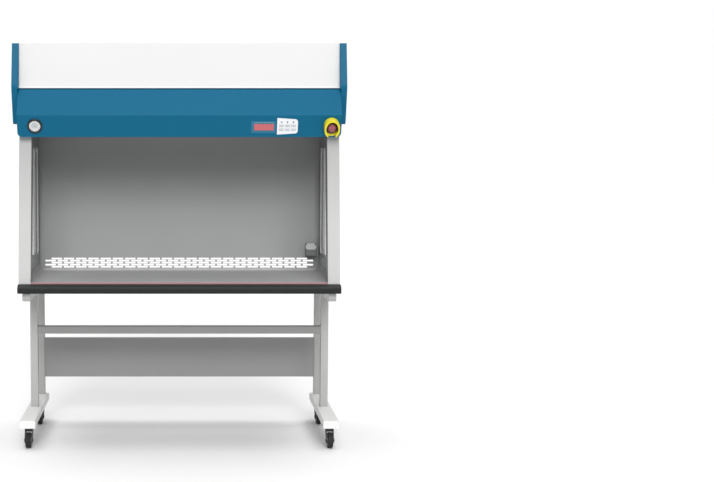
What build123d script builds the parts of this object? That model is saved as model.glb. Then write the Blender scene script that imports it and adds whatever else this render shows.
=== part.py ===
"""Laminar flow hood (vertical flow clean bench) on a castered stand.

Millimetres. X runs to the operator's right, Y runs back, Z runs up, and the
origin is on the floor under the middle of the hood's box. Depths are given
back from the armrest's front face, and y_at() turns a depth into a Y.
"""

from build123d import *

import math
import os

# ---------------------------------------------------------------- overall
hood_width = 1694.0  # over the two wings
hood_height = 2065.0  # floor to roof
hood_depth = 730.0  # armrest's front face to the rear sheet
worktop_height = 846.0  # floor to work surface
housing_height = 408.0  # upper housing, from the side frames' top to the roof
inlet_rim = 2.0  # the mains inlet's rim stands this far behind the rear sheet
fit_gap = 0.05  # radial running clearance of a pin in its bore
part_gap = 0.4  # clearance between pieces that slide or turn past each other
through = 20.0  # length of a tool that cuts a hole through a sheet

# ---------------------------------------------------------------- stand
stand_inset = 39.0  # middle of each end frame, inward of the side frames' outer faces
tube_size = 40.0
tube_wall = 2.5
tube_corner = 4.0
foot_width = 80.0
foot_height = 40.0
foot_wall = 3.0
foot_corner = 6.0
foot_front = 25.0
front_leg_depth = 346.0
rear_leg_margin = 67.0  # rear legs' front face to the rear sheet
worktop_thickness = 44.0
rail_front = 30.0
rail_margin = 4.0  # the top rails end this far short of the side frames' rear edge
rail_nose = 14.0  # rounded lower corner of each top rail's front end
cross_rail_drop = 216.0  # below the top rails' underside
panel_base = 249.0
panel_height = 219.0
panel_sheet = 2.0
panel_flange = 26.0
panel_setback = 6.0  # behind the rear legs' front face
bolt_radius = 5.0
bolt_head_flats = 16.0
bolt_head_height = 6.4
bolt_depths = (150.0, 560.0)
bolt_inset = 8.0  # each bolt is this far inward of the top rail's centre
bolt_reach = 20.0  # how far a bolt goes up into the worktop

# ---------------------------------------------------------------- casters
caster_height = 111.0
wheel_radius = 40.0
tyre_width = 28.0
tyre_depth = 11.0
tyre_round = 7.0
tyre_bands = 4  # flat bands that round each shoulder of the tyre
hub_rim = 4.0
hub_web = 12.0
hub_boss_radius = 12.0
axle_radius = 4.0
axle_head_radius = 7.5
axle_head_height = 3.0
caster_trail = 33.0
front_wheel_depth = 74.0
rear_wheel_margin = 140.0  # rear wheels' axles to the rear sheet
fork_cheek = 4.0
fork_gap = 32.0
fork_neck_radius = 25.0
fork_crown = 8.0
fork_tip_radius = 15.0
kingpin_radius = 6.0
kingpin_head_radius = 9.0
kingpin_head_height = 3.5
race_height = 9.0
stem_radius = 6.0
stem_reach = 17.0
stem_boss_radius = 13.0
stem_boss_height = 15.0

# ---------------------------------------------------------------- armrest and worktop
armrest_depth = 36.0
armrest_height = 45.0
armrest_lift = 5.0  # the armrest's top above the work surface
armrest_slope = 13.0  # how far the front edge of its sloped top lies below its rear edge
armrest_ledge = 8.0  # flat strip at the rear of its top
armrest_round = 6.0
side_cove = 35.0  # radius of the worktop's upturn along each side wall
rear_cove = 10.0  # radius of its upturn along the back wall

# ---------------------------------------------------------------- side frames
post_width = 63.0
post_depth = 65.0
post_foot_rise = 6.0  # the post stands upright to this far above the work surface
post_setback = 105.3  # how far the leaning post's top stands behind its foot
post_edge_round = 3.0
panel_thickness = 35.0
side_margin = 10.0  # side frames' rear edge to the rear sheet
window_sill = 106.0  # window opening above the work surface
window_head = 127.0  # window opening below the upper housing
window_margin = 100.0  # window opening to the rear sheet
window_stile = 100.0  # post front to window, measured level
window_corner = 35.0
pane_thickness = 6.0
pane_lap = 10.0
gasket_width = 18.0
gasket_cover = 8.0  # how far the gasket's lip covers the pane's edge
bevel_depth = 18.0
bevel_margin = 44.0  # bevel to the rear sheet
bevel_head = 60.0  # bevel below the upper housing
bevel_sill = 16.0  # bevel above the work surface
bevel_corner = 12.0
reveal_height = 17.0
reveal_inset = 14.0

# ---------------------------------------------------------------- back wall
back_wall_margin = 16.0  # its front face ahead of the side frames' rear edge
back_wall_sheet = 2.0
slot_length = 58.0
slot_height = 9.4
slot_pitch = 68.55
slot_rows = 5
slot_row_pitch = 11.5
slot_rise = 19.0  # middle of the lowest row above the work surface
slot_margin = 25.0  # least distance from a slot's end to a side wall

# ---------------------------------------------------------------- upper housing
sheet = 2.0
wing_width = 34.0
wing_top_front = 144.0
wing_top_rear = 259.0
wing_apex_depth = 98.0
wing_apex_drop = 223.0  # below the roof
wing_base_front = 151.0
wing_base_rear = 205.0
wing_toe_round = 22.0
wing_apex_round = 60.0
wing_edge_round = 2.5
wing_gap = 0.5
front_panel_top = 158.0
front_panel_foot = 142.0
front_panel_lip = 11.0  # the folded lower edge comes forward and down by this

# ---------------------------------------------------------------- console
console_overlap = 3.5  # each end reaches this far under the wing
console_drop = 233.0  # its top below the roof
console_height = 240.0
console_top_depth = 128.0
crease_depth = 55.0
crease_drop = 131.0  # crease below the console's top
console_base_depth = 95.0
console_sheet = 2.5
console_end_round = 22.0
crease_round = 4.0
shadow_gap = 7.0  # recess between the console's top and the front panel's lip
console_back_border = 8.0  # flange left round the opening in the console's back

# ---------------------------------------------------------------- controls
# Each is placed from the console's end and up from its base.
gauge_inset = 89.5
gauge_rise = 56.0
gauge_radius = 38.0
gauge_face_radius = 28.5
gauge_body_radius = 30.0
gauge_body_depth = 24.0
gauge_rim_height = 7.0
gauge_rim_chamfer = 2.0
gauge_dial_thickness = 1.0
gauge_dial_seat = 1.5
gauge_lens_thickness = 1.5
gauge_lens_recess = 0.5
needle_length = 21.0
needle_tail = 7.0
needle_width = 2.4
needle_tip = 0.6
needle_thickness = 0.6
needle_hub_radius = 3.0
needle_pin_radius = 1.0
needle_pin_height = 1.6
needle_rest_angle = -35.0
display_inset = 390.5
display_rise = 50.0
display_size = (100.0, 34.0)
display_corner = 2.0
display_body = (90.0, 26.0)
display_rim = 1.2
display_body_depth = 8.0
keypad_inset = 272.5
keypad_rise = 54.5
keypad_width = 104.0
keypad_left_height = 88.0
keypad_right_height = 74.0
keypad_round = 14.0
keypad_left_round = 2.0
keypad_thickness = 2.4
keypad_cutout = (92.0, 50.0)
keypad_cutout_drop = 8.0
key_size = (24.0, 13.0)
key_corner = 1.5
key_edge = 0.4
key_pitch = (30.0, 21.0)
key_drop = 8.0  # the key block's middle is this far below the plate's middle
key_proud = 1.0
key_flange = 1.4
key_flange_thickness = 1.0
key_flange_gap = 0.2  # between the flange and the plate's underside
estop_inset = 51.5
estop_rise = 53.0
collar_radius = 38.5
collar_stretch = 9.0  # the collar's two round ends are centred this far from its middle
collar_wall = 12.0
collar_height = 46.0
collar_chamfer = 1.5
collar_notch = 37.0
collar_sill = 8.0  # the notch starts this far above the console
collar_floor = 4.0
collar_floor_gap = 0.3
estop_bush_radius = 15.0
estop_bush_height = 14.0
estop_hole = 11.5
estop_stub_gap = 0.3
plunger_radius = 9.0
plunger_reach = 22.0
estop_travel = 5.0
head_rest_gap = 1.5  # head above the bush when pushed fully in
head_radius = 22.5
head_height = 12.0
head_shoulder = 5.0
head_crown = 3.0
head_grip_radius = 3.0
head_grip_inset = 1.5
head_pin_radius = 5.0
head_pin_height = 8.0

# ---------------------------------------------------------------- socket in the work chamber
socket_inset = 46.0  # its middle to the side wall
socket_rise = 87.0  # its base above the work surface
socket_width = 58.0
socket_height = 58.0
socket_foot_depth = 54.0
socket_front_height = 34.0
socket_head_depth = 16.0
socket_round = 4.0
well_radius = 18.0
well_depth = 14.0
lid_thickness = 4.0
lid_overhang = 3.0
lid_pin_radius = 3.0
lid_pin_core = 2.0
lid_ear_width = 7.0
lid_round = 16.0
lid_edge_round = 1.2

# ---------------------------------------------------------------- inside the housing
diffuser_sheet = 2.0
diffuser_front = 202.0
diffuser_lift = 0.5  # above the console's underside
diffuser_columns = 26
diffuser_rows = 3
diffuser_slot = (16.0, 130.0)
diffuser_border = 10.0
filter_seat = 0.5  # between the diffuser and the filter
filter_height = 95.0
filter_wall = 18.0
filter_gap = 0.5  # filter to side wall
filter_front_gap = 6.0  # behind the diffuser's front edge
filter_lip = 22.0
filter_lip_sheet = 3.0
media_recess = 8.0  # pleats inside the filter frame's top and bottom
media_folds = 48
media_web = 6.0
fan_deck_drop = 203.0
fan_deck_sheet = 3.0
fan_inset = 413.0  # fan's axis inward of the wing
fan_margin = 285.0  # fan's axis to the rear sheet
fan_inlet_radius = 84.0
fan_inlet_drop = 26.0
fan_inlet_flare = 16.0
impeller_radius = 140.0
impeller_eye_radius = 92.0
impeller_rise = 81.0  # above the side frames' top
impeller_height = 88.0
impeller_sheet = 3.0
impeller_hub_radius = 20.0
impeller_hub_height = 30.0
impeller_blades = 7
blade_inner_radius = 78.0
blade_tip_inset = 2.0
blade_bulge = 7.0
blade_sweep = 48.0
motor_radius = 52.0
motor_height = 30.0
motor_gap = 2.0
motor_shaft_radius = 8.0
motor_plate = 250.0
motor_plate_sheet = 4.0
motor_rod_radius = 6.0
motor_rod_spread = 115.0
lamp_channel_lift = 7.0  # above the filter frame's base
lamp_channel_height = 46.0
lamp_channel_inset = 10.0  # each end inward of the post
lamp_end_gap = 140.0  # tube's end to the channel's end
lamp_tube_radius = 13.0
lamp_holder_width = 12.0
intake_inset = 253.0  # roof slots' ends inward of the wing
intake_ahead = 115.0  # roof slots' front ahead of the fans' axes
intake_behind = 175.0
intake_columns = 28
intake_rows = 2
intake_slot_width = 22.0
intake_bar = 16.0  # sheet left between the two rows
prefilter_height = 22.0
prefilter_margin = 14.0
prefilter_drop = 3.0
inlet_inset = 253.0  # mains inlet inward of the wing
inlet_rise = 73.0  # above the side frames' top
inlet_size = (50.0, 34.0)
inlet_corner = 4.0
inlet_body = (30.0, 22.0)
inlet_well = (25.0, 17.0)
inlet_body_depth = 24.0
inlet_well_depth = 18.0
inlet_pin = (2.0, 4.0, 13.0)
inlet_pin_spread = 7.0
inlet_live_drop = 2.0
inlet_earth_rise = 3.0

# ---------------------------------------------------------------- worked out
overall_depth = hood_depth + inlet_rim
hood_base = hood_height - housing_height
wing_inner = hood_width / 2 - wing_width
side_outer = wing_inner
wall_inner = side_outer - panel_thickness
post_inner = side_outer - post_width
stand_centre = side_outer - stand_inset
frame_base = worktop_height - worktop_thickness
rail_base = frame_base - tube_size
side_rear = hood_depth - side_margin
back_wall_depth = side_rear - back_wall_margin
rail_rear = side_rear - rail_margin
rear_leg_depth = hood_depth - rear_leg_margin
rear_leg_end = rear_leg_depth + tube_size
foot_top = caster_height + foot_height
wheel_depths = {"front": front_wheel_depth, "rear": hood_depth - rear_wheel_margin}
armrest_top = worktop_height + armrest_lift
post_foot_height = worktop_height + post_foot_rise
post_lean = post_setback / (hood_base - post_foot_height)
post_top_depth = armrest_depth + post_setback
window_base = worktop_height + window_sill
window_top = hood_base - window_head
window_rear = hood_depth - window_margin
bevel_base = worktop_height + bevel_sill
bevel_top = hood_base - bevel_head
bevel_rear = hood_depth - bevel_margin
pane_face = wall_inner + pane_thickness
rim_face = side_outer - bevel_depth
wing_apex_height = hood_height - wing_apex_drop
console_half = wing_inner + console_overlap
console_top = hood_height - console_drop
console_base = console_top - console_height
crease_height = console_top - crease_drop
facet_rise = crease_height - console_base
facet_run = console_base_depth - crease_depth
facet_tilt = math.atan2(facet_run, facet_rise)
gauge_place = (gauge_inset - console_half, console_base + gauge_rise)
display_place = (console_half - display_inset, console_base + display_rise)
keypad_place = (console_half - keypad_inset, console_base + keypad_rise)
estop_place = (console_half - estop_inset, console_base + estop_rise)
head_base = estop_bush_height + estop_travel + head_rest_gap
socket_x = wall_inner - socket_inset
socket_base = worktop_height + socket_rise
diffuser_base = console_base + diffuser_lift
filter_base = diffuser_base + diffuser_sheet + filter_seat
filter_top = filter_base + filter_height
filter_front = diffuser_front + filter_front_gap
fan_deck_height = hood_height - fan_deck_drop
fan_x = wing_inner - fan_inset
fan_depth = hood_depth - fan_margin
impeller_base = hood_base + impeller_rise
lamp_half = post_inner - lamp_channel_inset
lamp_tube_half = lamp_half - lamp_end_gap
lamp_channel_front = post_top_depth + part_gap
lamp_channel_base = filter_base + lamp_channel_lift
lamp_depth = (lamp_channel_front + filter_front) / 2
lamp_height = lamp_channel_base + lamp_channel_height / 2
intake_half = wing_inner - intake_inset
intake_front = fan_depth - intake_ahead
intake_rear = fan_depth + intake_behind
inlet_place = (wing_inner - inlet_inset, hood_base + inlet_rise)


def y_at(depth):
    """Y of a point that lies this far behind the armrest's front face."""
    return depth - overall_depth / 2


def post_front(height):
    """Depth of the side frame's leaning front edge at a height."""
    return armrest_depth + post_lean * max(0.0, height - post_foot_height)


def box(x0, x1, d0, d1, z0, z1):
    """A block between two X, two depths and two heights."""
    size = (abs(x1 - x0), abs(d1 - d0), abs(z1 - z0))
    centre = ((x0 + x1) / 2, y_at((d0 + d1) / 2), (z0 + z1) / 2)
    return Pos(*centre) * Box(*size)


def side_face(points, x):
    """A flat face at one X from (depth, height) points."""
    outline = Polyline(*[(y_at(d), z) for d, z in points], close=True)
    return Plane.YZ.offset(x) * make_face(outline)


def side_prism(points, x0, x1):
    """(depth, height) points drawn out from x0 to x1."""
    return extrude(side_face(points, x0), amount=x1 - x0)


def group(pieces):
    """Several separate solids as one node."""
    solids = [s for piece in pieces for s in piece.solids()]
    return Compound(children=solids)


def both_sides(piece):
    """A right-hand piece and its mirror image."""
    return [piece, mirror(piece, about=Plane.YZ)]


def tube_profile(width, height, wall, corner):
    """Section of a rolled rectangular tube."""
    outer = RectangleRounded(width, height, corner)
    return outer - RectangleRounded(width - 2 * wall, height - 2 * wall, corner - wall / 2)


def facet_plane(x, height):
    """Plane on the console's lower facet: Z outwards, Y up the facet."""
    depth = crease_depth + (crease_height - height) / facet_rise * facet_run
    outward = (0, -math.cos(facet_tilt), -math.sin(facet_tilt))
    return Plane(origin=(x, y_at(depth), height), x_dir=(1, 0, 0), z_dir=outward)


def on_facet(place, piece):
    """Puts a piece drawn flat on XY onto the console's lower facet."""
    return facet_plane(*place).location * piece


# ---------------------------------------------------------------- stand
def make_feet():
    length = rear_leg_end - foot_front
    start = Plane(origin=(stand_centre, y_at(foot_front), caster_height + foot_height / 2),
                  x_dir=(1, 0, 0), z_dir=(0, 1, 0))
    body = extrude(start * RectangleRounded(foot_width, foot_height, foot_corner), amount=length)
    hollow = RectangleRounded(foot_width - 2 * foot_wall, foot_height - 2 * foot_wall,
                              foot_corner - foot_wall)
    body -= extrude(start.offset(foot_wall) * hollow, amount=length - 2 * foot_wall)
    for depth in wheel_depths.values():
        middle = (stand_centre, y_at(depth + caster_trail))
        body += Pos(*middle, caster_height + foot_wall + stem_boss_height / 2) * Cylinder(
            stem_boss_radius, stem_boss_height)
        body -= Pos(*middle, caster_height) * Cylinder(
            stem_radius, 2 * (foot_wall + stem_boss_height + 1))
    return group(both_sides(body))


def make_legs():
    section = tube_profile(tube_size, tube_size, tube_wall, tube_corner)
    legs = []
    for depth in (front_leg_depth, rear_leg_depth):
        start = Pos(stand_centre, y_at(depth + tube_size / 2), foot_top)
        legs += both_sides(extrude(start * section, amount=rail_base - foot_top))
    return group(legs)


def bolt_places():
    x = stand_centre - bolt_inset
    return [(x, y_at(depth)) for depth in bolt_depths]


def make_top_rails():
    start = Plane(origin=(stand_centre, y_at(rail_front), rail_base + tube_size / 2),
                  x_dir=(1, 0, 0), z_dir=(0, 1, 0))
    length = rail_rear - rail_front
    rail = extrude(start * RectangleRounded(tube_size, tube_size, tube_corner), amount=length)
    hollow = RectangleRounded(tube_size - 2 * tube_wall, tube_size - 2 * tube_wall,
                              tube_corner - tube_wall / 2)
    rail -= extrude(start.offset(rail_nose) * hollow, amount=length)
    nose = side_prism([(rail_front, rail_base), (rail_front + rail_nose, rail_base),
                       (rail_front, rail_base + rail_nose)],
                      stand_centre - tube_size, stand_centre + tube_size)
    rail -= nose
    for x, y in bolt_places():
        rail -= Pos(x, y, rail_base + tube_size / 2) * Cylinder(
            bolt_radius + part_gap, tube_size + 2)
    return group(both_sides(rail))


def make_frame_bolts():
    head = Pos(0, 0, -bolt_head_height / 2) * extrude(
        RegularPolygon(bolt_head_flats / 2, 6, major_radius=False),
        amount=bolt_head_height / 2, both=True)
    shank_length = tube_size + bolt_reach
    bolt = head + Pos(0, 0, shank_length / 2) * Cylinder(bolt_radius, shank_length)
    bolts = []
    for x, y in bolt_places():
        bolts += both_sides(Pos(x, y, rail_base) * bolt)
    return group(bolts)


def make_cross_rail():
    half = stand_centre - tube_size / 2
    start = Plane(origin=(-half, y_at(front_leg_depth + tube_size / 2),
                          rail_base - cross_rail_drop + tube_size / 2),
                  x_dir=(0, 1, 0), z_dir=(1, 0, 0))
    section = tube_profile(tube_size, tube_size, tube_wall, tube_corner)
    return extrude(start * section, amount=2 * half)


def make_modesty_panel():
    half = stand_centre - tube_size / 2
    front = rear_leg_depth + panel_setback
    rear = front + panel_flange
    panel = box(-half, half, front, rear, panel_base, panel_base + panel_height)
    panel -= box(-half + panel_sheet, half - panel_sheet, front + panel_sheet, rear + 1,
                 panel_base + panel_sheet, panel_base + panel_height - panel_sheet)
    front_edges = panel.edges().filter_by(Axis.X).filter_by(
        lambda e: abs(e.center().Y - y_at(front)) < 0.1)
    return fillet(front_edges, panel_sheet * 0.9)


# ---------------------------------------------------------------- casters
def caster_places():
    """Corner name, side, wheel depth and swivel depth of each caster."""
    places = []
    for end, depth in wheel_depths.items():
        for name, side in (("left", -1), ("right", 1)):
            places.append((f"{end}_{name}", side, depth, depth + caster_trail))
    return places


def make_caster_stems():
    """Fixed half of each swivel: threaded stem, ball-race cup and kingpin."""
    stems = []
    race_base = caster_height - race_height
    crown_base = race_base - part_gap - fork_crown
    for _, side, _, depth in caster_places():
        middle = (side * stand_centre, y_at(depth))
        stem = Pos(*middle, caster_height - race_height / 2) * Cylinder(
            fork_neck_radius, race_height)
        stem += Pos(*middle, caster_height + stem_reach / 2) * Cylinder(stem_radius, stem_reach)
        pin_length = race_base - crown_base + part_gap
        stem += Pos(*middle, race_base - pin_length / 2) * Cylinder(kingpin_radius, pin_length)
        stem += Pos(*middle, race_base - pin_length - kingpin_head_height / 2) * Cylinder(
            kingpin_head_radius, kingpin_head_height)
        stems.append(stem)
    return group(stems)


def make_fork(side, wheel_depth, swivel_depth):
    """Swivelling fork with its riveted axle."""
    x = side * stand_centre
    top = caster_height - race_height - part_gap
    width = fork_gap + 2 * fork_cheek
    wheel_y = y_at(wheel_depth)
    swivel_y = y_at(swivel_depth)
    crown = Pos(x, swivel_y, top - fork_crown / 2) * Cylinder(fork_neck_radius, fork_crown)
    tip = Pos(wheel_y, wheel_radius) * Circle(fork_tip_radius)
    shoulder = Pos(swivel_y, top - fork_crown / 2) * Rectangle(2 * fork_neck_radius, fork_crown)
    cheek = make_hull(tip.edges() + shoulder.edges())
    fork = crown + extrude(Plane.YZ.offset(x - width / 2) * cheek, amount=width)
    slot_top = top - fork_crown
    slot = Pos(x, (wheel_y + swivel_y) / 2, slot_top / 2) * Box(
        fork_gap, 2 * (caster_trail + 2 * fork_neck_radius), slot_top)
    fork -= slot
    axis = Pos(x, wheel_y, wheel_radius) * Rot(0, 90, 0)
    fork -= axis * Cylinder(axle_radius, width + 2)
    fork -= Pos(x, swivel_y, top) * Cylinder(kingpin_radius + fit_gap, 4 * fork_crown)
    axle = axis * Cylinder(axle_radius, width)
    for end in (-1, 1):
        axle += Pos(end * (width + axle_head_height) / 2, 0, 0) * axis * Cylinder(
            axle_head_radius, axle_head_height)
    return group([fork, axle])


def wheel_frame(side, wheel_depth):
    return Pos(side * stand_centre, y_at(wheel_depth), wheel_radius) * Rot(0, 90, 0)


def make_hub(side, wheel_depth):
    outer = wheel_radius - tyre_depth
    inner = outer - hub_rim
    half = tyre_width / 2
    boss = fork_gap / 2 - part_gap
    bore = axle_radius + fit_gap
    section = Polyline((bore, -boss), (hub_boss_radius, -boss), (hub_boss_radius, -hub_web / 2),
                       (inner, -hub_web / 2), (inner, -half), (outer, -half),
                       (outer, half), (inner, half), (inner, hub_web / 2),
                       (hub_boss_radius, hub_web / 2), (hub_boss_radius, boss), (bore, boss),
                       close=True)
    hub = revolve(Plane.XZ * make_face(section), axis=Axis.Z)
    return wheel_frame(side, wheel_depth) * hub


def make_tyre(side, wheel_depth):
    """Solid tyre with a flat tread and shoulders rounded in short bands."""
    inner = wheel_radius - tyre_depth
    half = tyre_width / 2
    shoulder = []
    for band in range(tyre_bands + 1):
        angle = math.pi / 2 * band / tyre_bands
        shoulder.append((wheel_radius - tyre_round * (1 - math.sin(angle)),
                         half - tyre_round * (1 - math.cos(angle))))
    lower = [(r, -z) for r, z in shoulder]
    section = Polyline((inner, -half), *lower, *shoulder[::-1], (inner, half), close=True)
    tyre = revolve(Plane.XZ * make_face(section), axis=Axis.Z)
    return wheel_frame(side, wheel_depth) * tyre


# ---------------------------------------------------------------- work chamber
def cove_face(corner, radius):
    """Section of a cove that fills the corner at (corner, worktop height)."""
    foot = (corner - radius, worktop_height)
    top = (corner, worktop_height + radius)
    middle = (corner - radius * (1 - math.sin(math.pi / 4)),
              worktop_height + radius * (1 - math.sin(math.pi / 4)))
    straight = Polyline(foot, (corner, worktop_height), top)
    return make_face(straight.edges() + [ThreePointArc(top, middle, foot)])


def make_worktop():
    """Slab with a coved upturn along both side walls and the back wall."""
    top = box(-wall_inner, wall_inner, armrest_depth, back_wall_depth, frame_base, worktop_height)
    cove_front = post_front(worktop_height + side_cove) + post_depth
    start = Plane(origin=(0, y_at(cove_front), 0), x_dir=(1, 0, 0), z_dir=(0, -1, 0))
    cove = extrude(start * cove_face(wall_inner, side_cove), amount=cove_front - back_wall_depth)
    for upturn in both_sides(cove):
        top += upturn
    rear = Plane.YZ.offset(-wall_inner) * cove_face(y_at(back_wall_depth), rear_cove)
    top += extrude(rear, amount=2 * wall_inner)
    notch = box(post_inner, side_outer, armrest_depth - 1, armrest_depth + post_depth,
                frame_base - 1, worktop_height + 1)
    for cut in both_sides(notch):
        top -= cut
    for x, y in bolt_places():
        for side in (-1, 1):
            top -= Pos(side * x, y, frame_base) * Cylinder(bolt_radius, 2 * bolt_reach)
    return top


def make_armrest():
    base = armrest_top - armrest_height
    outline = [(0, base), (armrest_depth, base), (armrest_depth, armrest_top),
               (armrest_depth - armrest_ledge, armrest_top), (0, armrest_top - armrest_slope)]
    rest = side_prism(outline, -side_outer, side_outer)
    front = rest.edges().filter_by(Axis.X).filter_by(
        lambda e: e.center().Y < y_at(armrest_ledge / 2))
    rest = fillet(front, armrest_round)
    ends = rest.edges().filter_by(lambda e: abs(abs(e.center().X) - side_outer) < 0.1
                                  and e.center().Y < y_at(armrest_depth - armrest_ledge / 2))
    return fillet(ends, armrest_round / 3)


def window_outline(grow, x):
    """Window outline at one X, grown on all sides, with parallel corners."""
    base = window_base - grow
    top = window_top + grow
    stile = window_stile - grow
    points = [(post_front(base) + stile, base), (window_rear + grow, base),
              (window_rear + grow, top), (post_front(top) + stile, top)]
    face = side_face(points, x)
    return fillet(face.vertices(), window_corner + grow)


def bevel_outline(x):
    """Outer edge of the bevel round the window."""
    points = [(post_front(bevel_base) + post_depth, bevel_base), (bevel_rear, bevel_base),
              (bevel_rear, bevel_top), (post_front(bevel_top) + post_depth, bevel_top)]
    face = side_face(points, x)
    return fillet(face.vertices(), bevel_corner)


def make_side_frame():
    """Right-hand side frame: thick front post, thinner glazed wall behind it."""
    outline = [(armrest_depth, frame_base), (armrest_depth, post_foot_height),
               (post_front(hood_base), hood_base), (side_rear, hood_base),
               (side_rear, frame_base)]
    frame = side_prism(outline, post_inner, side_outer)
    behind_post = [(armrest_depth + post_depth, frame_base - 1),
                   (armrest_depth + post_depth, post_foot_height),
                   (post_front(hood_base + 1) + post_depth, hood_base + 1),
                   (side_rear + 1, hood_base + 1), (side_rear + 1, frame_base - 1)]
    frame -= side_prism(behind_post, post_inner - 1, wall_inner)
    frame -= loft([window_outline(gasket_width, rim_face), bevel_outline(side_outer)], ruled=True)
    frame -= extrude(window_outline(gasket_width, pane_face), amount=rim_face - pane_face)
    frame -= extrude(window_outline(0, wall_inner - 1), amount=pane_face - wall_inner + 2)
    frame -= box(side_outer - reveal_inset, side_outer + 1, wing_base_rear, bevel_rear,
                 hood_base - reveal_height, hood_base + 1)
    middle = (post_foot_height + hood_base) / 2
    front_edges = frame.edges().filter_by(
        lambda e: abs(e.center().Z - middle) < 1
        and abs(e.center().Y - y_at(post_front(middle))) < 1)
    return fillet(front_edges, post_edge_round)


def make_pane():
    return extrude(window_outline(pane_lap, pane_face), amount=pane_thickness)


def make_gasket():
    """Rubber frame that laps the pane's edge and fills the rebate round it."""
    ring = extrude(window_outline(gasket_width, pane_face), amount=rim_face - pane_face)
    ring -= extrude(window_outline(pane_lap, pane_face), amount=pane_thickness)
    lap = pane_lap - gasket_cover
    ring -= extrude(window_outline(lap, pane_face), amount=rim_face - pane_face + 1)
    return ring


def slot_rects():
    """(x, height) of the middle of every air slot in the back wall."""
    room = 2 * (wall_inner - slot_margin) + slot_pitch - slot_length
    long_row = int(room / slot_pitch)
    places = []
    for row in range(slot_rows):
        count = long_row - (row + 1) % 2
        height = worktop_height + slot_rise + row * slot_row_pitch
        for i in range(count):
            places.append(((i - (count - 1) / 2) * slot_pitch, height))
    return places


def make_back_wall():
    rear = back_wall_depth + back_wall_sheet
    wall = box(-wall_inner, wall_inner, back_wall_depth, rear, frame_base, hood_base)
    for cut in both_sides(box(wall_inner - back_wall_sheet, wall_inner, rear, side_rear,
                              frame_base, hood_base)):
        wall += cut
    start = Plane(origin=(0, y_at(back_wall_depth - 1), 0), x_dir=(1, 0, 0), z_dir=(0, -1, 0))
    rects = Sketch() + [Pos(x, z) * Rectangle(slot_length, slot_height) for x, z in slot_rects()]
    return wall - extrude(start * rects, amount=-(back_wall_sheet + 2))


# ---------------------------------------------------------------- socket
def socket_profile():
    """(distance from the wall, height above the box's base) of the socket box."""
    return [(0, 0), (socket_foot_depth, 0), (socket_foot_depth, socket_front_height),
            (socket_head_depth, socket_height), (0, socket_height)]


def socket_slope():
    """Plane on the box's sloped face: Z outwards, Y up the slope."""
    run = socket_foot_depth - socket_head_depth
    rise = socket_height - socket_front_height
    length = math.hypot(run, rise)
    middle_depth = back_wall_depth - (socket_foot_depth + socket_head_depth) / 2
    middle_height = socket_base + (socket_height + socket_front_height) / 2
    plane = Plane(origin=(socket_x, y_at(middle_depth), middle_height), x_dir=(1, 0, 0),
                  z_dir=(0, -rise / length, run / length))
    return plane, length


def lid_pin_height():
    return lid_thickness / 2 + part_gap


def make_socket_box():
    half = socket_width / 2
    points = [(back_wall_depth - d, socket_base + z) for d, z in socket_profile()]
    body = side_prism(points, socket_x - half, socket_x + half)
    upright = body.edges().filter_by(
        lambda e: abs(e.center().Y - y_at(back_wall_depth - socket_foot_depth)) < 1
        and abs(e.tangent_at(0.5).Z) > 0.9)
    body = fillet(upright, socket_round)
    plane, length = socket_slope()
    body -= plane.location * Cylinder(well_radius, 2 * well_depth)
    hinge = plane.location * Pos(0, length / 2 + lid_pin_radius, lid_pin_height())
    ear = Pos(0, -lid_pin_radius / 2, -lid_pin_height() / 2) * Box(
        lid_ear_width, 4 * lid_pin_radius, lid_pin_height() + 2 * lid_pin_radius)
    rod = Rot(0, 90, 0) * Cylinder(lid_pin_core, socket_width)
    for end in (-1, 1):
        body += hinge * Pos(end * (half - lid_ear_width / 2), 0, 0) * ear
    return body + hinge * rod


def make_socket_lid():
    plane, length = socket_slope()
    span = socket_width - 2 * lid_ear_width - 2 * part_gap
    reach = length + lid_overhang
    flap = Pos(0, -lid_overhang / 2 - 1.5 * lid_pin_radius, lid_pin_height()) * Box(
        socket_width, reach - 3 * lid_pin_radius, lid_thickness)
    toe = flap.edges().filter_by(Axis.Z).sort_by(Axis.Y)[:2]
    flap = fillet(toe, lid_round)
    rim = flap.faces().sort_by(Axis.Z)[-1]
    flap = fillet(rim.edges(), lid_edge_round)
    neck = Pos(0, length / 2 - lid_pin_radius, lid_pin_height()) * Box(
        span, 4 * lid_pin_radius, lid_thickness)
    barrel = Pos(0, length / 2 + lid_pin_radius, lid_pin_height()) * Rot(0, 90, 0) * Cylinder(
        lid_pin_radius, span)
    pin = Pos(0, length / 2 + lid_pin_radius, lid_pin_height()) * Rot(0, 90, 0) * Cylinder(
        lid_pin_core + fit_gap, 2 * socket_width)
    return plane.location * (flap + neck + barrel - pin)


# ---------------------------------------------------------------- upper housing
def wing_points(rear_shift=0.0):
    return [(wing_top_front, hood_height), (wing_top_rear + rear_shift, hood_height),
            (wing_base_rear + rear_shift, hood_base), (wing_base_front, hood_base),
            (wing_apex_depth, wing_apex_height)]


def console_points():
    return [(console_top_depth, console_top), (crease_depth, crease_height),
            (console_base_depth, console_base), (post_front(console_base), console_base),
            (post_top_depth, hood_base), (post_top_depth, console_top)]


def console_block(grow):
    """The console's outer block, grown (or shrunk) by a wall on every side."""
    half = console_half + grow
    face = side_face(console_points(), -half)
    if grow:
        face = offset(face, amount=grow, kind=Kind.INTERSECTION)
    block = extrude(face, amount=2 * half)
    low = min(v.Z for v in block.vertices())
    toes = block.edges().filter_by(
        lambda e: abs(abs(e.center().X) - half) < 0.1 and abs(e.center().Z - low) < 0.1)
    block = fillet(toes, console_end_round + grow)
    crease = block.edges().filter_by(Axis.X).sort_by(Axis.Y)[0]
    return fillet(crease, crease_round + grow)


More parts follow.
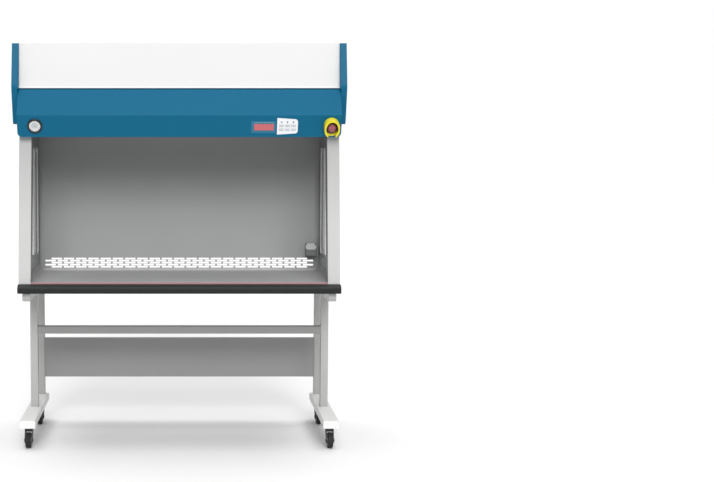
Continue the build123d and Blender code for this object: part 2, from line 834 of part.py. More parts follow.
def make_wing():
    """Right-hand wing: a thick end blade that stands proud of the front panel."""
    blade = side_face(wing_points(), wing_inner)
    apex = blade.vertices().sort_by(Axis.Y)[0]
    blade = fillet(apex, wing_apex_round)
    toe = blade.vertices().filter_by(lambda v: abs(v.Z - hood_base) < 0.1).sort_by(Axis.Y)[0]
    blade = fillet(toe, wing_toe_round)
    wing = extrude(blade, amount=wing_width)
    rims = wing.edges().filter_by(
        lambda e: abs(e.tangent_at(0.5).X) < 0.1
        and e.center().Y < y_at(wing_base_rear - 2 * wing_edge_round)
        and e.center().Z < hood_height - 1)
    wing = fillet(rims, wing_edge_round)
    wing -= box(wing_inner - 1, console_half + wing_gap, 0, console_top_depth,
                hood_base - 1, console_top + wing_gap)
    return wing - console_block(wing_gap)


def make_front_panel():
    """Leaning panel whose lower edge folds forward over the console's upstand."""
    lip = console_top + shadow_gap
    foot = lip + front_panel_lip
    outer = [(front_panel_foot - front_panel_lip, lip), (front_panel_foot, foot),
             (front_panel_top, hood_height)]
    inner = [(front_panel_top + sheet, hood_height), (front_panel_foot + sheet, foot - sheet / 2),
             (front_panel_foot - front_panel_lip + 1.4 * sheet, lip)]
    return side_prism(outer + inner, -wing_inner, wing_inner)


def make_housing_shell():
    half = hood_width / 2
    front = front_panel_top + sheet
    shell = box(-half, half, front, hood_depth, hood_base, hood_height)
    shell -= box(-half + sheet, half - sheet, front - 1, hood_depth - sheet,
                 hood_base + sheet, hood_height - sheet)
    shell -= box(-wall_inner - 1, wall_inner + 1, front - 1, back_wall_depth,
                 hood_base - 1, hood_base + 2 * sheet)
    ahead = wing_points()[1:3] + [(front - 2, hood_base), (front - 2, hood_height)]
    for cut in both_sides(side_prism(ahead, wing_inner, half + 1)):
        shell -= cut
    column_pitch = 2 * intake_half / intake_columns
    row_pitch = (intake_rear - intake_front) / intake_rows
    slots = Sketch() + [
        Pos((i - (intake_columns - 1) / 2) * column_pitch,
            y_at(intake_front + (j + 0.5) * row_pitch))
        * Rectangle(intake_slot_width, row_pitch - intake_bar)
        for i in range(intake_columns) for j in range(intake_rows)]
    shell -= extrude(Pos(0, 0, hood_height + 1) * slots, amount=-(sheet + 2))
    shell -= Pos(inlet_place[0], y_at(hood_depth), inlet_place[1]) * Box(
        inlet_body[0] + part_gap, 4 * sheet, inlet_body[1] + part_gap)
    for lip in make_prefilter_ledges():
        shell += lip
    return shell


def make_prefilter_ledges():
    """Two folded channels under the roof that hold the prefilter."""
    half = intake_half + prefilter_margin
    ledges = []
    top = hood_height - sheet
    base = top - prefilter_height - prefilter_drop
    for depth, inward in ((intake_front, 1), (intake_rear, -1)):
        wall = depth - inward * prefilter_margin
        ledge = box(-half, half, wall, wall - inward * sheet, base - sheet, top)
        ledge += box(-half, half, wall - inward * sheet, wall + inward * prefilter_margin / 2,
                     base - sheet, base)
        ledges.append(ledge)
    return ledges


def make_prefilter():
    base = hood_height - sheet - prefilter_height - prefilter_drop
    half = intake_half + prefilter_margin - part_gap
    return box(-half, half, intake_front - prefilter_margin, intake_rear + prefilter_margin,
               base, base + prefilter_height)


def make_console_cover():
    cover = console_block(0) - console_block(-console_sheet)
    opening_half = post_inner - console_back_border
    cover -= box(-opening_half, opening_half, post_top_depth - 4 * console_sheet,
                 post_top_depth + through, console_base + console_back_border,
                 console_top - console_back_border)
    upstand_half = wing_inner - wing_gap
    cover += box(-upstand_half, upstand_half, post_top_depth - console_sheet, post_top_depth,
                 console_top - console_sheet, console_top + shadow_gap)
    cuts = [
        on_facet(gauge_place, Cylinder(gauge_body_radius + part_gap, through)),
        on_facet(display_place, Box(display_body[0] + part_gap, display_body[1] + part_gap,
                                    through)),
        on_facet(keypad_place, Pos(0, -keypad_cutout_drop, 0) * Box(*keypad_cutout, through)),
        on_facet(estop_place, Cylinder(estop_hole, through)),
    ]
    for cut in cuts:
        cover -= cut
    return cover


# ---------------------------------------------------------------- controls
def make_gauge_case():
    face_seat = gauge_dial_seat
    rim = gauge_rim_height
    body = gauge_body_radius
    section = Polyline((0, -gauge_body_depth), (body, -gauge_body_depth), (body, 0),
                       (gauge_radius, 0), (gauge_radius, rim - gauge_rim_chamfer),
                       (gauge_radius - gauge_rim_chamfer, rim),
                       (gauge_face_radius, rim), (gauge_face_radius, face_seat),
                       (0, face_seat), close=True)
    return on_facet(gauge_place, revolve(Plane.XZ * make_face(section), axis=Axis.Z))


def make_gauge_dial():
    dial = Pos(0, 0, gauge_dial_seat + gauge_dial_thickness / 2) * Cylinder(
        gauge_face_radius, gauge_dial_thickness)
    pin_top = gauge_dial_seat + gauge_dial_thickness + needle_pin_height
    pin = Pos(0, 0, pin_top / 2 + gauge_dial_seat / 2) * Cylinder(
        needle_pin_radius, pin_top - gauge_dial_seat)
    return on_facet(gauge_place, dial + pin)


def make_gauge_needle():
    lift = gauge_dial_seat + gauge_dial_thickness + part_gap
    blade = Polyline((-needle_width / 2, -needle_tail), (needle_width / 2, -needle_tail),
                     (needle_width / 2, 0), (needle_tip / 2, needle_length),
                     (-needle_tip / 2, needle_length),
                     (-needle_width / 2, 0), close=True)
    needle = extrude(make_face(blade), amount=needle_thickness)
    needle += Pos(0, 0, needle_thickness / 2) * Cylinder(needle_hub_radius, needle_thickness)
    needle -= Cylinder(needle_pin_radius + fit_gap, through)
    placed = Pos(0, 0, lift) * Rot(0, 0, -needle_rest_angle) * needle
    return on_facet(gauge_place, placed)


def make_gauge_lens():
    top = gauge_rim_height - gauge_lens_recess
    lens = Pos(0, 0, top - gauge_lens_thickness / 2) * Cylinder(
        gauge_face_radius, gauge_lens_thickness)
    return on_facet(gauge_place, lens)


def make_display_window():
    width, height = display_size
    rim = Pos(0, 0, display_rim / 2) * extrude(
        RectangleRounded(width, height, display_corner), amount=display_rim / 2, both=True)
    body = Pos(0, 0, -display_body_depth / 2) * Box(*display_body, display_body_depth)
    return on_facet(display_place, rim + body)


def key_places():
    """Name and (across, up) place of each key on the keypad's plate."""
    places = []
    for row in range(2):
        for column in range(3):
            x = (column - 1) * key_pitch[0]
            y = -key_drop + (0.5 - row) * key_pitch[1]
            places.append((f"key_{row + 1}_{column + 1}", x, y))
    return places


def make_keypad_plate():
    half = keypad_width / 2
    outline = Polyline((-half, -keypad_left_height / 2), (half, -keypad_right_height / 2),
                       (half, keypad_right_height / 2), (-half, keypad_left_height / 2),
                       close=True)
    face = make_face(outline)
    right = face.vertices().sort_by(Axis.X)[2:]
    face = fillet(right, keypad_round)
    left = face.vertices().sort_by(Axis.X)[:2]
    face = fillet(left, keypad_left_round)
    for _, x, y in key_places():
        face -= Pos(x, y) * RectangleRounded(key_size[0] + 2 * part_gap,
                                             key_size[1] + 2 * part_gap, key_corner)
    return on_facet(keypad_place, extrude(face, amount=keypad_thickness))


def make_key(x, y):
    """One key: its cap passes up through the plate and a flange keeps it in."""
    cap_height = keypad_thickness + key_proud + key_flange_gap
    cap = extrude(RectangleRounded(*key_size, key_corner), amount=cap_height)
    cap = fillet(cap.edges().group_by(Axis.Z)[-1], key_edge)
    flange = Pos(0, 0, -key_flange_thickness / 2) * Box(
        key_size[0] + 2 * key_flange, key_size[1] + 2 * key_flange, key_flange_thickness)
    key = Pos(x, y, -key_flange_gap) * (cap + flange)
    return on_facet(keypad_place, key)


def collar_outline(radius):
    """Upright outline with two round ends, shared by the collar and its floor."""
    return SlotCenterToCenter(2 * collar_stretch, 2 * radius, rotation=90)


def make_estop_collar():
    """Shroud round the emergency stop, notched at the bottom."""
    inner = collar_radius - collar_wall
    ring = collar_outline(collar_radius) - collar_outline(inner)
    collar = extrude(ring, amount=collar_height)
    collar = chamfer(collar.edges().group_by(Axis.Z)[-1], collar_chamfer)
    collar -= Pos(0, -collar_radius - collar_stretch, collar_sill + collar_height / 2) * Box(
        collar_notch, 2 * (collar_wall + collar_stretch), collar_height)
    return on_facet(estop_place, collar)


def make_estop_base():
    """Black actuator body: a floor plate and a bush, with a stub through the console."""
    floor = extrude(collar_outline(collar_radius - collar_wall - collar_floor_gap),
                    amount=collar_floor)
    bush = Pos(0, 0, estop_bush_height / 2) * Cylinder(estop_bush_radius, estop_bush_height)
    stub = Pos(0, 0, -plunger_reach / 2) * Cylinder(estop_hole - estop_stub_gap, plunger_reach)
    base = floor + bush + stub - Cylinder(plunger_radius + fit_gap, 4 * plunger_reach)
    return on_facet(estop_place, base)


def make_estop_plunger():
    shoulder = head_base - part_gap
    length = shoulder + plunger_reach - estop_travel
    body = Pos(0, 0, shoulder - length / 2) * Cylinder(plunger_radius, length)
    pin = Pos(0, 0, shoulder + head_pin_height / 2) * Cylinder(head_pin_radius, head_pin_height)
    return on_facet(estop_place, body + pin)


def make_estop_head():
    """Twist-release head: a stepped disc with a domed top and three finger grips."""
    top = head_radius - head_shoulder
    edge = head_shoulder * 0.7
    section = Polyline((0, head_height), (top, head_height), (head_radius, head_height - edge),
                       (head_radius, edge), (head_radius - edge, 0), (0, 0), close=True)
    head = revolve(Plane.XZ * make_face(section), axis=Axis.Z)
    dome_radius = (top ** 2 + head_crown ** 2) / (2 * head_crown)
    dome = Pos(0, 0, head_height + head_crown - dome_radius) * Sphere(dome_radius)
    cap = Pos(0, 0, head_height + head_crown / 2) * Cylinder(top, head_crown)
    head += dome & cap
    for turn in (0, 120, 240):
        grip = Rot(0, 0, turn) * Pos(head_radius + head_grip_inset, 0, head_height / 2)
        head -= grip * Cylinder(head_grip_radius, 2 * head_height)
    head -= Cylinder(head_pin_radius + fit_gap, 2 * (head_pin_height + part_gap))
    return on_facet(estop_place, Pos(0, 0, head_base) * head)


# ---------------------------------------------------------------- air system and lamp
def make_diffuser():
    """Slotted ceiling panel with a front strip between the two posts."""
    top = diffuser_base + diffuser_sheet
    panel = box(-wall_inner, wall_inner, filter_front, back_wall_depth, diffuser_base, top)
    panel += box(-post_inner, post_inner, diffuser_front, filter_front + diffuser_border,
                 diffuser_base, top)
    width, length = diffuser_slot
    column_pitch = 2 * (post_inner - diffuser_border) / diffuser_columns
    row_pitch = (back_wall_depth - filter_front - 2 * diffuser_border) / diffuser_rows
    slots = Sketch() + [
        Pos((i - (diffuser_columns - 1) / 2) * column_pitch,
            y_at(filter_front + diffuser_border + (j + 0.5) * row_pitch)) * Rectangle(width, length)
        for i in range(diffuser_columns) for j in range(diffuser_rows)]
    return panel - extrude(Pos(0, 0, diffuser_base - 1) * slots, amount=diffuser_sheet + 2)


def make_filter_frame():
    """Open frame round the pleats, hung by a lip on each side frame."""
    rear = back_wall_depth - filter_gap
    half = wall_inner - filter_gap
    frame = box(-half, half, filter_front, rear, filter_base, filter_top)
    frame -= box(-half + filter_wall, half - filter_wall, filter_front + filter_wall,
                 rear - filter_wall, filter_base - 1, filter_top + 1)
    for lip in both_sides(box(half, half + filter_lip, filter_front, rear, hood_base + sheet,
                              hood_base + sheet + filter_lip_sheet)):
        frame += lip
    return frame


def make_filter_media():
    """Pleated pack: one folded web, drawn along the hood's depth."""
    half = wall_inner - filter_gap - filter_wall
    front = filter_front + filter_wall
    rear = back_wall_depth - filter_gap - filter_wall
    pitch = 2 * half / media_folds
    upper = []
    lower = []
    for i in range(media_folds + 1):
        x = -half + i * pitch
        crest = filter_top - media_recess if i % 2 else filter_base + media_recess + media_web
        upper.append((x, crest))
        lower.append((x, crest - media_web))
    web = make_face(Polyline(*(upper + lower[::-1]), close=True))
    start = Plane(origin=(0, y_at(front), 0), x_dir=(1, 0, 0), z_dir=(0, -1, 0))
    return extrude(start * web, amount=front - rear)


def fan_places():
    return [(side * fan_x, y_at(fan_depth)) for side in (-1, 1)]


def make_fan_deck():
    deck = box(-hood_width / 2 + sheet, hood_width / 2 - sheet,
               front_panel_top + sheet + 2, hood_depth - sheet,
               fan_deck_height, fan_deck_height + fan_deck_sheet)
    notch = side_prism(wing_points(rear_shift=1.0), wing_inner - 1, hood_width / 2 + 1)
    for cut in both_sides(notch):
        deck -= cut
    mouth = fan_inlet_radius + fan_inlet_flare
    bell = Polyline((mouth, fan_deck_sheet), (fan_inlet_radius, -fan_inlet_drop),
                    (fan_inlet_radius + fan_deck_sheet, -fan_inlet_drop),
                    (mouth + fan_deck_sheet, 0), (mouth + fan_deck_sheet, fan_deck_sheet),
                    close=True)
    cone = revolve(Plane.XZ * make_face(bell), axis=Axis.Z)
    for x, y in fan_places():
        deck -= Pos(x, y, fan_deck_height) * Cylinder(mouth + 1, 4 * fan_deck_sheet)
        deck += Pos(x, y, fan_deck_height) * cone
    return deck


def make_fan_motors():
    """Motor, mounting plate and hanger rods of each fan."""
    motors = []
    plate_base = impeller_base - motor_gap - motor_height - motor_plate_sheet
    for x, y in fan_places():
        motor = Pos(x, y, plate_base + motor_plate_sheet / 2) * Box(
            motor_plate, motor_plate, motor_plate_sheet)
        motor += Pos(x, y, plate_base + motor_plate_sheet + motor_height / 2) * Cylinder(
            motor_radius, motor_height)
        shaft_top = impeller_base + impeller_hub_height
        shaft_base = plate_base + motor_plate_sheet
        motor += Pos(x, y, (shaft_top + shaft_base) / 2) * Cylinder(
            motor_shaft_radius, shaft_top - shaft_base)
        rod = fan_deck_height - shaft_base
        for i in (-1, 1):
            for j in (-1, 1):
                motor += Pos(x + i * motor_rod_spread, y + j * motor_rod_spread,
                             shaft_base + rod / 2) * Cylinder(motor_rod_radius, rod)
        motors.append(motor)
    return group(motors)


def make_impeller(x, y):
    """Backward-curved plug fan wheel on a vertical shaft."""
    bottom = Pos(0, 0, impeller_sheet / 2) * Cylinder(impeller_radius, impeller_sheet)
    shroud_z = impeller_height - impeller_sheet
    shroud = Pos(0, 0, shroud_z + impeller_sheet / 2) * (
        Cylinder(impeller_radius, impeller_sheet) - Cylinder(impeller_eye_radius, impeller_sheet))
    hub = Pos(0, 0, impeller_hub_height / 2) * Cylinder(impeller_hub_radius, impeller_hub_height)
    sweep = math.radians(blade_sweep)
    outer = impeller_radius - blade_tip_inset
    inner_end = Vector(blade_inner_radius, 0)
    outer_end = Vector(outer * math.cos(sweep), outer * math.sin(sweep))
    mean = (blade_inner_radius + outer) / 2 + blade_bulge
    middle = Vector(mean * math.cos(sweep * 0.42), mean * math.sin(sweep * 0.42))
    path = ThreePointArc(inner_end, middle, outer_end)
    back = path.offset_2d(impeller_sheet, side=Side.LEFT, closed=True)
    blade = extrude(make_face(back), amount=impeller_height)
    wheel = bottom + shroud + hub
    for i in range(impeller_blades):
        wheel += Rot(0, 0, i * 360 / impeller_blades) * blade
    wheel -= Cylinder(motor_shaft_radius + fit_gap, 4 * impeller_hub_height)
    return Pos(x, y, impeller_base) * wheel


def make_lamp_fixture():
    """Downward-open channel with two lamp holders, hung on the filter frame's front."""
    top = lamp_channel_base + lamp_channel_height
    channel = box(-lamp_half, lamp_half, lamp_channel_front, filter_front, lamp_channel_base, top)
    channel -= box(-lamp_half + sheet, lamp_half - sheet, lamp_channel_front + sheet,
                   filter_front - sheet, lamp_channel_base - 1, top - sheet)
    holder_base = lamp_height - lamp_tube_radius
    for side in (-1, 1):
        x = side * (lamp_tube_half + lamp_holder_width / 2)
        channel += Pos(x, y_at(lamp_depth), (holder_base + top - sheet) / 2) * Box(
            lamp_holder_width, 2 * lamp_tube_radius, top - sheet - holder_base)
    return channel


def make_lamp_tube():
    return Pos(0, y_at(lamp_depth), lamp_height) * Rot(0, 90, 0) * Cylinder(
        lamp_tube_radius, 2 * lamp_tube_half)


def make_mains_inlet():
    """Appliance inlet with a rim, a body through the sheet and three pins in its well."""
    rim = Box(inlet_size[0], inlet_rim, inlet_size[1])
    rim = fillet(rim.edges().filter_by(Axis.Y), inlet_corner)
    body_length = inlet_body_depth
    inlet = Pos(0, inlet_rim / 2, 0) * rim
    inlet += Pos(0, -body_length / 2, 0) * Box(inlet_body[0], body_length, inlet_body[1])
    well = Pos(0, inlet_rim - inlet_well_depth / 2, 0) * Box(
        inlet_well[0], inlet_well_depth, inlet_well[1])
    inlet -= well
    width, height, length = inlet_pin
    for x, z in ((-inlet_pin_spread, -inlet_live_drop), (inlet_pin_spread, -inlet_live_drop),
                 (0, inlet_earth_rise)):
        inlet += Pos(x, inlet_rim - inlet_well_depth + length / 2, z) * Box(width, length, height)
    return Pos(inlet_place[0], y_at(hood_depth), inlet_place[1]) * inlet


def build_nodes():
    """Every node's name with its shape."""
    nodes = {
        "feet": make_feet(),
        "legs": make_legs(),
        "top_rails": make_top_rails(),
        "cross_rail": make_cross_rail(),
        "modesty_panel": make_modesty_panel(),
        "frame_bolts": make_frame_bolts(),
        "caster_stems": make_caster_stems(),
        "worktop": make_worktop(),
        "armrest": make_armrest(),
        "back_wall": make_back_wall(),
        "window_panes": group(both_sides(make_pane())),
        "window_gaskets": group(both_sides(make_gasket())),
        "socket_box": make_socket_box(),
        "socket_lid": make_socket_lid(),
        "housing_shell": make_housing_shell(),
        "front_panel": make_front_panel(),
        "console_cover": make_console_cover(),
        "gauge_case": make_gauge_case(),
        "gauge_dial": make_gauge_dial(),
        "gauge_needle": make_gauge_needle(),
        "gauge_lens": make_gauge_lens(),
        "display_window": make_display_window(),
        "keypad_plate": make_keypad_plate(),
        "estop_collar": make_estop_collar(),
        "estop_base": make_estop_base(),
        "estop_plunger": make_estop_plunger(),
        "estop_head": make_estop_head(),
        "diffuser": make_diffuser(),
        "filter_frame": make_filter_frame(),
        "filter_media": make_filter_media(),
        "fan_deck": make_fan_deck(),
        "fan_motors": make_fan_motors(),
        "prefilter": make_prefilter(),
        "lamp_fixture": make_lamp_fixture(),
        "lamp_tube": make_lamp_tube(),
        "mains_inlet": make_mains_inlet(),
    }
    for name, side, wheel_depth, swivel_depth in caster_places():
        nodes[f"{name}_fork"] = make_fork(side, wheel_depth, swivel_depth)
        nodes[f"{name}_hub"] = make_hub(side, wheel_depth)
        nodes[f"{name}_tyre"] = make_tyre(side, wheel_depth)
    for name, x, y in key_places():
        nodes[name] = make_key(x, y)
    for name, shape in (("side_frame", make_side_frame()), ("wing", make_wing())):
        right, left = both_sides(shape)
        nodes[f"right_{name}"] = right
        nodes[f"left_{name}"] = left
    for name, (x, y) in zip(("left_impeller", "right_impeller"), fan_places()):
        nodes[name] = make_impeller(x, y)
    return nodes


def main():
    os.makedirs("parts", exist_ok=True)
    for name, shape in build_nodes().items():
        export_step(shape, f"parts/{name}.step")


main()
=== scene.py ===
# %% [markdown]
# # Laminar flow hood
# A clean bench on a castered stand. The solid model is loaded as a fixed frame, and this lesson dresses
# it: first the camera and light, then one finish at a time, then the small pieces that a metal-worker,
# a printer and an electrician would add. All sizes are millimetres until they reach a mesh.

# %% Load the frame
import bpy
import bmesh
import math
from mathutils import Matrix, Vector


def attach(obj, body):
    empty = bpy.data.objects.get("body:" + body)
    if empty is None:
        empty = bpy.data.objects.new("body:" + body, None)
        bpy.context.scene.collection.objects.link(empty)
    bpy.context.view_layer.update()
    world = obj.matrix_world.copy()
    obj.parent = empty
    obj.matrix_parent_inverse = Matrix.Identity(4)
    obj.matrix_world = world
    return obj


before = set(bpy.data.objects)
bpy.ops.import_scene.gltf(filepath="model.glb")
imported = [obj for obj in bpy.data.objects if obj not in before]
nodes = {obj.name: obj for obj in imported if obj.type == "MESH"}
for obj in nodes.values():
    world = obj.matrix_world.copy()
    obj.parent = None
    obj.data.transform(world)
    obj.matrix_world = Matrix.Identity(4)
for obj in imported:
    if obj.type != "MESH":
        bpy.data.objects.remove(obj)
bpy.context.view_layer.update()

# %% [markdown]
# The camera stands six metres in front of the armrest at standing eye height and tips down a little,
# so the worktop shows as a thin band. The shift keeps the hood to the left of a wide frame.

# %% Camera
MM = 0.001
HALF_DEPTH = 366.0  # half of the overall depth, so a depth behind the armrest's face becomes a Y


def y_at(depth):
    """Y in mm of a point this far behind the armrest's front face."""
    return depth - HALF_DEPTH


camera_data = bpy.data.cameras.new("studio_camera")
camera = bpy.data.objects.new("studio_camera", camera_data)
bpy.context.scene.collection.objects.link(camera)
camera_data.lens = 61.49
camera_data.sensor_width = 36.0
camera_data.shift_x = 0.2489
camera_data.shift_y = -0.0116
camera.location = Vector((0, y_at(-6083), 1626)) * MM
camera.rotation_euler = (math.radians(90 - 4.8), 0, 0)
bpy.context.scene.camera = camera
print("camera at", tuple(round(v, 3) for v in camera.location))

# %% [markdown]
# A catalogue picture of white sheet metal wants light from all round. The world gives the even part. A
# very wide overhead sun lifts whatever faces up and draws the soft shadow under the bench, and a wide
# front sun reaches under the console and fades up the chamber's back wall. The floor is one large pale
# sheet, bright enough to light the undersides. The camera itself sees the world as plain white paper.

# %% Light and floor
bpy.context.scene.view_settings.view_transform = "Standard"
world = bpy.data.worlds.new("white_studio")
bpy.context.scene.world = world
world.use_nodes = True
sky = world.node_tree
sky_ray = sky.nodes.new("ShaderNodeLightPath")
sky_level = sky.nodes.new("ShaderNodeMapRange")
sky_level.inputs["To Min"].default_value = 0.12  # what lights the hood
sky_level.inputs["To Max"].default_value = 1.0  # what the camera sees
sky.links.new(sky_ray.outputs["Is Camera Ray"], sky_level.inputs["Value"])
sky.links.new(sky_level.outputs[0], sky.nodes["Background"].inputs["Strength"])
sky.nodes["Background"].inputs["Color"].default_value = (1, 1, 1, 1)


def soft_sun(name, elevation, azimuth, width, share):
    """A wide sun. share is how much of full white it adds to a face turned to it."""
    data = bpy.data.lights.new(name, "SUN")
    data.angle = math.radians(width)
    data.energy = share * math.pi
    light = bpy.data.objects.new(name, data)
    up, round_ = math.radians(elevation), math.radians(azimuth)
    source = Vector((math.sin(round_) * math.cos(up), -math.cos(round_) * math.cos(up), math.sin(up)))
    light.rotation_euler = source.to_track_quat("Z", "Y").to_euler()
    bpy.context.scene.collection.objects.link(light)


soft_sun("overhead_sun", 85, 180, 60, 0.84)
soft_sun("front_sun", 32, 2, 34, 0.76)
floor_mesh = bpy.data.meshes.new("studio_floor")
reach = 30.0
floor_mesh.from_pydata([(-reach, -reach, 0), (reach, -reach, 0), (reach, reach, 0), (-reach, reach, 0)],
                       [], [(0, 1, 2, 3)])
studio_floor = bpy.data.objects.new("studio_floor", floor_mesh)
bpy.context.scene.collection.objects.link(studio_floor)
print("lights and floor ready")

# %% [markdown]
# Finishes are node materials on Object coordinates. One function turns a hex colour to linear light, one
# starts a material, and one adds a node with its settings, values and links. Pattern sizes are given as
# the real size in millimetres, and a noise repeats about once in that distance.

# %% Node helpers


def linear(hex_colour):
    """sRGB hex such as '#2A719A' as a linear RGBA."""
    channels = [int(hex_colour[i:i + 2], 16) / 255 for i in (1, 3, 5)]
    return tuple(c / 12.92 if c <= 0.04045 else ((c + 0.055) / 1.055) ** 2.4 for c in channels) + (1.0,)


def per_mm(size):
    """Noise scale, per metre, for features of a size in mm."""
    return 1000.0 / size


def start_material(name, colour, roughness, metallic=0.0, **sockets):
    """A named material with a Principled shader. Returns (material, tree, shader, coordinates)."""
    material = bpy.data.materials.new(name)
    material.use_nodes = True
    tree = material.node_tree
    shader = tree.nodes["Principled BSDF"]
    shader.inputs["Base Color"].default_value = linear(colour)
    shader.inputs["Roughness"].default_value = roughness
    shader.inputs["Metallic"].default_value = metallic
    for socket, value in sockets.items():
        shader.inputs[socket.replace("_", " ")].default_value = value
    place = tree.nodes.new("ShaderNodeTexCoord")
    return material, tree, shader, place


def add(tree, kind, values=None, links=None, **settings):
    """Adds one node. values: socket to number or colour; links: socket to (node, output)."""
    new = tree.nodes.new(kind)
    for key, value in settings.items():
        setattr(new, key, value)
    for socket, value in (values or {}).items():
        new.inputs[socket].default_value = value
    for socket, (source, output) in (links or {}).items():
        tree.links.new(source.outputs[output], new.inputs[socket])
    return new


def vary_colour(tree, shader, pattern, light, dark):
    """Base colour drifts between two close hex colours by a pattern."""
    mix = add(tree, "ShaderNodeMix", {6: linear(light), 7: linear(dark)}, {0: (pattern, 0)},
              data_type="RGBA")
    tree.links.new(mix.outputs[2], shader.inputs["Base Color"])


def vary_roughness(tree, shader, pattern, low, high):
    """Roughness drifts between two values by a pattern."""
    span = add(tree, "ShaderNodeMapRange", {"To Min": low, "To Max": high}, {"Value": (pattern, 0)})
    tree.links.new(span.outputs[0], shader.inputs["Roughness"])


def relief(tree, shader, pattern, depth_mm, strength=1.0):
    """Bump from a pattern, with its depth in mm."""
    bump = add(tree, "ShaderNodeBump", {"Distance": depth_mm * MM, "Strength": strength},
               {"Height": (pattern, 0)})
    tree.links.new(bump.outputs[0], shader.inputs["Normal"])


finishes = {}

# %% [markdown]
# The stand, the side frames, the housing and the console are steel sheet and tube with a polyester
# powder coat, baked on. Up close the coat has an orange-peel ripple about 2 mm across. It is drawn at 4 mm
# so that it breaks up a highlight, with a slow drift of colour over a few hundred millimetres.

# %% Powder coats


def powder_coat(name, light, dark, roughness=0.42, peel=4.0, **sockets):
    material, tree, shader, place = start_material(name, light, roughness, IOR=1.5, **sockets)
    drift = add(tree, "ShaderNodeTexNoise", {"Scale": per_mm(420), "Detail": 2.0},
                {"Vector": (place, "Object")})
    vary_colour(tree, shader, drift, light, dark)
    ripple = add(tree, "ShaderNodeTexNoise", {"Scale": per_mm(peel), "Detail": 1.0},
                 {"Vector": (place, "Object")})
    relief(tree, shader, ripple, 0.02)
    vary_roughness(tree, shader, ripple, roughness - 0.05, roughness + 0.06)
    finishes[name] = material
    return material


powder_coat("white_powder_coat", "#D9D9D8", "#D5D5D5")
powder_coat("blue_powder_coat", "#085F80", "#085C7C", roughness=0.4, Specular_IOR_Level=0.12)
powder_coat("stand_powder_coat", "#ACACAB", "#A8A8A7", roughness=0.45)
powder_coat("foot_powder_coat", "#E6E6E5", "#E2E2E1", roughness=0.45)
powder_coat("rail_powder_coat", "#8E8E8D", "#898988", roughness=0.5)
powder_coat("panel_powder_coat", "#939393", "#8E8E8E", roughness=0.5)
powder_coat("black_powder_coat", "#323232", "#2C2C2C", roughness=0.5)
print("powder coats:", len(finishes))

# %% [markdown]
# The work chamber is lined with stainless sheet in a satin (number 4) polish. The belt leaves fine lines
# along the sheet about 0.1 mm apart, drawn here 1.5 mm apart so that they just show, so a stretched noise
# varies both roughness and relief.

# %% Satin stainless and aluminium


def brushed_metal(name, light, dark, roughness, stretch, line=1.5, metallic=1.0):
    material, tree, shader, place = start_material(name, light, roughness, metallic)
    along = add(tree, "ShaderNodeMapping", {"Scale": stretch}, {"Vector": (place, "Object")})
    lines = add(tree, "ShaderNodeTexNoise", {"Scale": per_mm(line), "Detail": 3.0}, {"Vector": (along, 0)})
    cloud = add(tree, "ShaderNodeTexNoise", {"Scale": per_mm(300), "Detail": 2.0},
                {"Vector": (place, "Object")})
    vary_colour(tree, shader, cloud, light, dark)
    vary_roughness(tree, shader, lines, roughness - 0.06, roughness + 0.08)
    relief(tree, shader, lines, 0.01)
    finishes[name] = material
    return material


brushed_metal("satin_chamber_sheet", "#A7A8A8", "#A1A2A2", 0.55, (0.02, 1, 1), metallic=0.0)
brushed_metal("satin_worktop_sheet", "#BBBBBB", "#B3B3B3", 0.5, (0.02, 1, 1), metallic=0.0)

# %% [markdown]
# The side frames are coated outside and lined inside, so one finish asks which way a face looks. Both the
# back wall's satin sheet and the frames are painted mildly darker towards their tops: painted shade for the
# console's shade, and on the wall also a painted reflection of the dark console.

# %% Lined frames and painted shade


def lined_frame(name, outside, lining):
    """Powder coat outside; the faces that look into the chamber carry the lining's grey."""
    material = powder_coat(name, outside, outside)
    tree = material.node_tree
    shader = tree.nodes["Principled BSDF"]
    place = add(tree, "ShaderNodeTexCoord")
    where = add(tree, "ShaderNodeSeparateXYZ", links={0: (place, "Object")})
    surface = add(tree, "ShaderNodeNewGeometry")
    facing = add(tree, "ShaderNodeSeparateXYZ", links={0: (surface, "True Normal")})
    outward = add(tree, "ShaderNodeMath", links={0: (where, "X"), 1: (facing, "X")}, operation="MULTIPLY")
    inward = add(tree, "ShaderNodeMath", {1: -0.4}, {0: (outward, 0)}, operation="LESS_THAN")
    mix = add(tree, "ShaderNodeMix", {6: linear(outside), 7: linear(lining)}, {0: (inward, 0)},
              data_type="RGBA")
    tree.links.new(mix.outputs[2], shader.inputs["Base Color"])


lined_frame("lined_side_frame", "#BABAB9", "#868787")
brushed_metal("mill_aluminium", "#999B9B", "#919293", 0.5, (0.05, 1, 1))
brushed_metal("zinc_plated_steel", "#A7A8A9", "#999A9B", 0.34, (1, 1, 1))


def paint_light_and_shade_by_height(name, low, high, top_share):
    """Paints shade into a finish by height, from full colour at z = low to top_share of it at z = high
    (metres); a top_share above 1 paints light instead.
    """
    tree = finishes[name].node_tree
    shader = tree.nodes["Principled BSDF"]
    place = add(tree, "ShaderNodeTexCoord")
    height = add(tree, "ShaderNodeSeparateXYZ", links={0: (place, "Object")})
    fade = add(tree, "ShaderNodeMapRange",
               {"From Min": low, "From Max": high, "To Min": 1.0, "To Max": top_share}, {0: (height, "Z")})
    grey = add(tree, "ShaderNodeCombineColor", links={0: (fade, 0), 1: (fade, 0), 2: (fade, 0)})
    tint = add(tree, "ShaderNodeMix", {0: 1.0}, {7: (grey, 0)}, data_type="RGBA", blend_type="MULTIPLY")
    came = shader.inputs["Base Color"].links[0].from_socket
    tree.links.new(came, tint.inputs[6])
    tree.links.new(tint.outputs[2], shader.inputs["Base Color"])


# painted shade: the back wall's sheet and the side frames are painted darker towards their tops
paint_light_and_shade_by_height("satin_chamber_sheet", 1.18, 1.5, 0.66)
paint_light_and_shade_by_height("lined_side_frame", 1.15, 1.6, 0.78)
print("metals ready")

